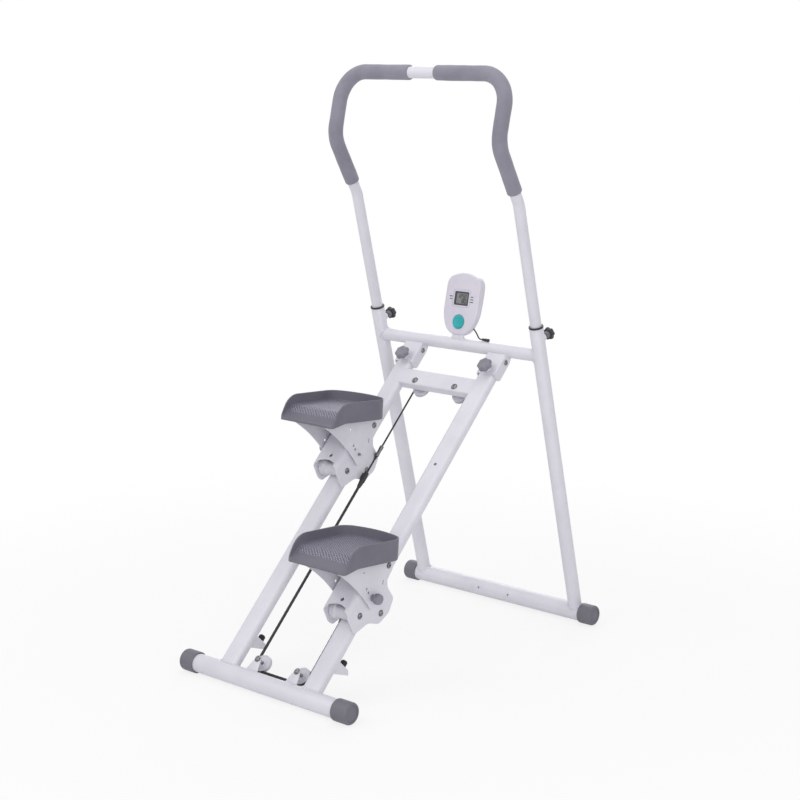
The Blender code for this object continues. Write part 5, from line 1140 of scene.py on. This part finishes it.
def pedal_tray(side):
    """A moulded tray with two ribs under it. Its mesh says where the tread is: on the deck, short of the apron."""
    place = from_axle(side, HINGE_T, HINGE_H) + (0, 0, TRAY_RISE)
    shapes = laid(TRAY_AXES, place, tray_shell(), tray_rib(-0.0315), tray_rib(0.0315))
    mesh = piece(f"{side}_pedal_tray", TRAY, shapes, sharp=50).data
    points = np.empty(len(mesh.vertices) * 3)
    mesh.vertices.foreach_get("co", points)
    own = (points.reshape(-1, 3) - place) @ TRAY_AXES
    tread = (np.abs(own[:, 2] - deck(own[:, 1])) < 0.0002) & (own[:, 1] > TRAY_HEEL + TRAY_APRON * 0.55)
    mesh.attributes.new("tread", "FLOAT", "POINT").data.foreach_set("value", tread.astype(float))


def pull_pin(side, sign):
    """The grey ball knob outside the carriage, its ribbed collar, and the pin through both cheeks."""
    start = CHEEK_OUTSIDE + CLEARANCE
    knob, end = start + 0.008, start + 0.025
    ball = softened([(0, end), (0.0105, end), (0.0130, end - 0.0050), (0.0130, knob + 0.0040), (0.0100, knob)],
                    0.0042, 9)
    neck = [(0.0080, knob - 0.0006), (0.0080, start + 0.0045), (0.0072, start + 0.0038), (0.0080, start + 0.0030),
            (0.0080, start), (0.0032, start), (0.0032, -0.0538), (0.0019, -0.0548), (0, -0.0548)]
    shape = put(lathe(np.vstack([ball, softened(neck, 0.0005, 4)]), 44), facing((sign, 0, 0)))
    piece(f"{side}_pull_pin", KNOB, laid(LADDER, from_axle(side, PIN_T, PIN_H), shape))


for side, sign in SIDES.items():
    carriage_body(side)
    carriage_bolt(f"{side}_front_axle", side, 0, 0, PLATE_OUTSIDE + 0.0006)
    carriage_bolt(f"{side}_rear_axle", side, REAR_AXLE_T, -2 * ROLLER_H, PLATE_OUTSIDE + 0.0006)
    carriage_bolt(f"{side}_hinge_bolt", side, HINGE_T, HINGE_H, CHEEK_OUTSIDE + 0.0006)
    roller(f"{side}_front_roller", side, 0, 0)
    roller(f"{side}_rear_roller", side, REAR_AXLE_T, -2 * ROLLER_H)
    cable_ferrule(side, sign)
    cable_eye(side, sign)
    pedal_bracket(side)
    pedal_tray(side)
    pull_pin(side, sign)

# Console, with z up its face and y into it
CONSOLE_RISE, FACE, SCREEN_Z, BUTTON_Z, DEEP_CUT = 0.022, -0.0125, 0.115, 0.056, -0.010


def case_outline(inset=0.0):
    """The case's outline, seen from in front and moved in by the inset: a broad arched top and a small round foot."""
    half = 0.0545
    right = [(half * 0.61, 0), (half, 0.048), (half * 0.965, 0.1452)]
    corners = right + [(0, 0.1622)] + [(-x, z) for x, z in right[::-1]]
    even = even_outline(corners, (0.042, 0.100, 0.028, 0.080, 0.028, 0.100, 0.042), 0.05, 160)
    return even + inward_of(even) * inset + np.array([0, CONSOLE_RISE])


def console_piece(name, finish, *shapes, body=None, holes=()):
    """A piece whose shapes and holes are given in the console's own axes."""
    piece(name, finish, laid(CONSOLE, CROSSBAR_CENTRE, *shapes), body, laid(CONSOLE, CROSSBAR_CENTRE, *holes))


def console_housing():
    """Rings of the outline, from the crowned face's middle over a rounded edge, down a side with the two halves'
    seam in it, to a back that leans in towards the foot. The display's window, a groove round it and the key's well
    are cut into the face."""
    middle = np.array([0, CONSOLE_RISE + 0.086])
    edge, crown, lip = 0.0050, 0.0010, 0.0040
    turn = np.linspace(0, np.pi / 2, 8)

    def back(z):
        """How far back the case reaches at each height."""
        return np.minimum(-FACE, 0.0030 + (z - 0.012) * 0.0808)

    def ring(inset, depth, share=1.0):
        """The outline moved in and drawn towards the middle, at one depth or at the depth that its z gives."""
        flat = middle + (case_outline(inset) - middle) * share
        return columns(flat[:, 0], depth(flat[:, 1]) if callable(depth) else depth, flat[:, 1])

    rows = [ring(edge, FACE + crown * share ** 2, share) for share in np.linspace(0.02, 0.96, 12)]
    rows += [ring(edge * (1 - np.sin(w)), FACE + crown + edge * (1 - np.cos(w))) for w in turn]
    rows += [ring(sunk, lambda z, y=y: np.minimum(FACE + y, back(z) - 0.0045))
             for sunk, y in ((0, 0.0078), (0.0004, 0.0081), (0.0004, 0.0085), (0, 0.0088))]
    rows += [ring(lip * (1 - np.cos(w)), lambda z, w=w: back(z) - lip * (1 - np.sin(w))) for w in turn]
    rows += [ring(lip, back, share) for share in (0.9, 0.6, 0.3, 0.02)]
    window = soft_rectangle((-0.0226, 0.0226), (-0.0176, 0.0176), 0.0035, 6)
    groove = soft_rectangle((-0.0272, 0.0272), (-0.0222, 0.0222), 0.0060, 8)
    cuts = [put(slab(window, DEEP_CUT, 0.0024, 0, 2), UPRIGHT, (0, FACE, SCREEN_Z)),
            put(flat_frame(groove, groove * 0.955, DEEP_CUT, 0.0016), UPRIGHT, (0, FACE, SCREEN_Z)),
            put(rod(0.0186, DEEP_CUT, 0.0070, 56), ALONG_Y, (0, FACE, BUTTON_Z))]
    console_piece("console_housing", CASE, shell(np.stack(rows)), holes=cuts)


def figure(digit, x, z, size):
    """A seven-bar figure: each bar is a thin slab, laid level or upright."""
    bars = {"a": (0, 2, 0), "b": (1, 1.5, 1), "c": (1, 0.5, 1), "d": (0, 0, 0), "e": (-1, 0.5, 1), "f": (-1, 1.5, 1),
            "g": (0, 1, 0)}
    lit = {"0": "abcdef", "1": "bc", "2": "abged", "5": "afgcd", "8": "abcdefg"}[digit]
    half, thin, made = size * 0.27, size * 0.12, []
    for key in lit:
        column, row, upright = bars[key]
        wide, tall = (thin, half * 0.86) if upright else (half * 0.86, thin)
        centre = np.array([x + column * half, z + row * size * 0.5])
        outline = centre + np.array([(-wide, -tall), (wide, -tall), (wide, tall), (-wide, tall)])
        made.append(slab(outline, 0.00185, 0.0021, 0.00005))
    return made


def console_screen():
    """The display: a pale window, a dark frame round it, and two rows of figures."""
    glass = soft_rectangle((-0.0222, 0.0222), (-0.0172, 0.0172), 0.0030, 6)
    upper, lower = (0.0015, 0.0085), (-0.0112, 0.0100)
    figures = [bar for digit, x, row in (("1", -0.0105, upper), ("2", -0.0040, upper), ("5", 0.0040, upper),
                                         ("0", 0.0108, upper), ("8", 0.0035, lower), ("0", 0.0110, lower))
               for bar in figure(digit, x, *row)]
    for name, finish, shapes, body in (("console_screen", DISPLAY, [slab(glass, 0.0020, 0.0036, 0.0002)], None),
                                       ("screen_frame", INK, [flat_frame(glass, glass * (0.80, 0.78), 0.0012, 0.0022)],
                                        "rear_frame"),
                                       ("screen_figures", INK, figures, "rear_frame")):
        console_piece(name, finish, *laid(UPRIGHT, (0, FACE, SCREEN_Z), *shapes), body=body)


def console_marks():
    """Plain dashes beside the display, in place of words."""
    made, tall = [], 0.0011
    for x, z, wide in ((-0.0330, 0.1185, 0.0052), (-0.0322, 0.1120, 0.0040), (0.0325, 0.1210, 0.0040),
                       (0.0330, 0.1145, 0.0046), (0.0325, 0.1080, 0.0052)):
        outline = soft_rectangle((x - wide, x + wide), (z - tall, z + tall), 0.0008, 4)
        lift = FACE + 0.0010 * (np.hypot(x / 0.0490, (z - 0.108) / 0.070)) ** 2
        made.append(put(slab(outline, -0.00025, 0.0004, 0.00004), UPRIGHT, (0, lift, 0)))
    console_piece("console_marks", INK, *made, body="rear_frame")


def console_button():
    """A round key with a slightly dished face and an eased rim."""
    face = 0.0120
    across = np.linspace(0, face, 6)
    dish = columns(across, 0.0012 + 0.0006 * (across / face) ** 2)
    rim = softened([(0.0150, 0.0020), (0.0172, 0.0012), (0.0180, -0.0008), (0.0180, -0.0040), (0, -0.0040)], 0.0010, 5)
    key = put(lathe(np.vstack([dish, rim]), 64), facing((0, -1, 0)), (0, FACE, BUTTON_Z))
    console_piece("console_button", TEAL, key)


def console_post():
    """The flat neck that the case is pushed on to, a blunt ellipse |cos a|^p, |sin a|^q seen from above, coped to
    the crossbar, with a bead of weld."""
    back = 0.00475
    cosine, sine = arc(around(72)).T
    x = 0.018 * np.abs(cosine) ** 0.35 * np.sign(cosine)
    y = 0.004 * np.abs(sine) ** 0.5 * np.sign(sine) - back
    cope = np.sqrt(CROSSBAR_RADIUS ** 2 - y ** 2)
    neck = shell(np.stack([columns(x, y, cope - COPE_SINK), columns(x, y, 0.032)]))
    seam = columns(x * 1.03, (y + back) * 1.25 - back, cope + COPE_SINK)
    line = along(np.vstack([seam, seam[:1]]), np.linspace(0, 0.080, 150)[:-1])
    console_piece("console_post", WHITE, neck, bead(line, 0.0013))


def lead_connector():
    """A small moulded plug lying on the crossbar: ribs round its tail and an elbow down into the tube."""
    profile = [(0, 0), (0.0024, 0), (0.0036, 0.004), (0.0030, 0.0050), (0.0036, 0.0060), (0.0030, 0.0070),
               (0.0036, 0.0080), (0.0038, 0.0100), (0.0038, 0.0220), (0, 0.0220)]
    plug = put(turned(profile, 0.0005, 32), ALONG_X, (0, 0, CROSSBAR_RADIUS + 0.0041))
    elbow = put(turned([(0, 0.012), (0.0034, 0.012), (0.0034, 0.0200), (0, 0.0200)], 0.0005, 28), place=(0.0182, 0, 0))
    piece("lead_connector", BLACK, laid(LEVEL, CROSSBAR_CENTRE + (0.075, 0, 0), plug, elbow))


def console_lead():
    """The black lead: one smooth curve through the route's points."""
    end = CROSSBAR_CENTRE + (0.0747, 0, CROSSBAR_RADIUS + 0.0041)
    way, root = np.array([0.8, 0, -0.6]), np.array([0.030, 0, CONSOLE_RISE + 0.030])
    start, out = (CROSSBAR_CENTRE + CONSOLE @ (root + way * r) for r in (0, 0.016))
    corners = [start, out, out + (0.0080, 0, -0.0085), end + (-0.0090, 0.0003, 0.0007), end]
    piece("console_lead", ROPE, [bar(softened(corners, 0.010, 9), 0.0017, 18)])


console_housing()
console_screen()
console_marks()
console_button()
console_post()
lead_connector()
console_lead()


# Stage
def sees_plain_white(tree):
    """1 for a ray from the camera, from a reflection or through glass."""
    path = add_node(tree, "ShaderNodeLightPath").outputs
    seen = maths(tree, "MAXIMUM", path["Is Camera Ray"], path["Is Glossy Ray"])
    return maths(tree, "MAXIMUM", seen, path["Is Transmission Ray"])


def surfaced(tree, share, first, second, end):
    """Two shaders mixed by a share, and put to the tree's end."""
    mix = add_node(tree, "ShaderNodeMixShader", {0: share, 1: first.outputs[0], 2: second.outputs[0]})
    tree.links.new(mix.outputs[0], tree.nodes[end].inputs["Surface"])


def floor(half=12, level=-0.0006):
    """A pale floor. To the camera and to reflections it is mostly its own white, and all white further out, so
    that only the object's shadow darkens it a little."""
    made = bpy.data.materials.new("studio_floor")
    made.use_nodes = True
    tree = made.node_tree
    shader = tree.nodes["Principled BSDF"]
    shader.inputs["Base Color"].default_value = (0.86, 0.86, 0.86, 1)
    shader.inputs["Roughness"].default_value = 0.9
    shader.inputs["Specular IOR Level"].default_value = 0.0
    far = add_node(tree, "ShaderNodeVectorMath", {0: object_place(tree)}, operation="LENGTH").outputs["Value"]
    share = maths(tree, "MULTIPLY", sees_plain_white(tree), ramp(tree, far, 0.7, 2.0, 0.80, 1.0))
    white = add_node(tree, "ShaderNodeEmission", {"Color": (1, 1, 1, 1), "Strength": 1.0})
    surfaced(tree, share, shader, white, "Material Output")
    mesh = bpy.data.meshes.new("studio_floor")
    mesh.from_pydata([(x * half, y * half, level) for x, y in ((-1, -1), (1, -1), (1, 1), (-1, 1))], [], [(0, 1, 2, 3)])
    mesh.materials.append(made)
    plane = bpy.data.objects.new("studio_floor", mesh)
    bpy.context.scene.collection.objects.link(plane)


def sky():
    """Even light from all round; to the camera and in reflections it is plain white."""
    world = bpy.data.worlds.new("studio")
    bpy.context.scene.world = world
    world.use_nodes = True
    tree = world.node_tree
    plain = add_node(tree, "ShaderNodeBackground", {"Color": (0.95, 0.95, 1.0, 1), "Strength": 0.52})
    white = add_node(tree, "ShaderNodeBackground", {"Color": (1, 1, 1, 1), "Strength": 1.0})
    surfaced(tree, sees_plain_white(tree), plain, white, "World Output")


def lamp(name, place, target, size, power):
    """A square soft lamp pointing at a target."""
    light = bpy.data.lights.new(name, "AREA")
    light.shape, light.size, light.energy = "SQUARE", size, power
    made = bpy.data.objects.new(name, light)
    bpy.context.scene.collection.objects.link(made)
    axes = facing(np.asarray(place, float) - np.asarray(target, float))
    made.matrix_world = Matrix.Translation(place) @ Matrix(axes.tolist()).to_4x4()


def camera():
    """The photograph's viewpoint."""
    lens = bpy.data.cameras.new("photograph")
    lens.lens, lens.sensor_width = 75.48, 36.0
    lens.shift_x, lens.shift_y = 0.0006, 0.0023
    lens.dof.use_dof = False
    made = bpy.data.objects.new("photograph", lens)
    bpy.context.scene.collection.objects.link(made)
    made.location = (2.577, -3.0255, 1.467)
    made.rotation_euler = (np.pi / 2 - 0.2102, 0, 0.7002)
    bpy.context.scene.camera = made


floor()
sky()
lamp("soft_key", (-1.4, -2.6, 3.4), (0, 0, 0.6), 2.6, 40)
lamp("soft_top", (0.3, 0.4, 3.8), (0, 0, 0.5), 2.4, 28)
lamp("soft_front", (3.0, -2.6, 1.5), (0, 0, 0.6), 2.2, 46)
lamp("soft_back", (-1.8, 3.2, 2.0), (0, 0, 0.6), 2.4, 34)
camera()
bpy.context.scene.view_settings.view_transform = "Standard"
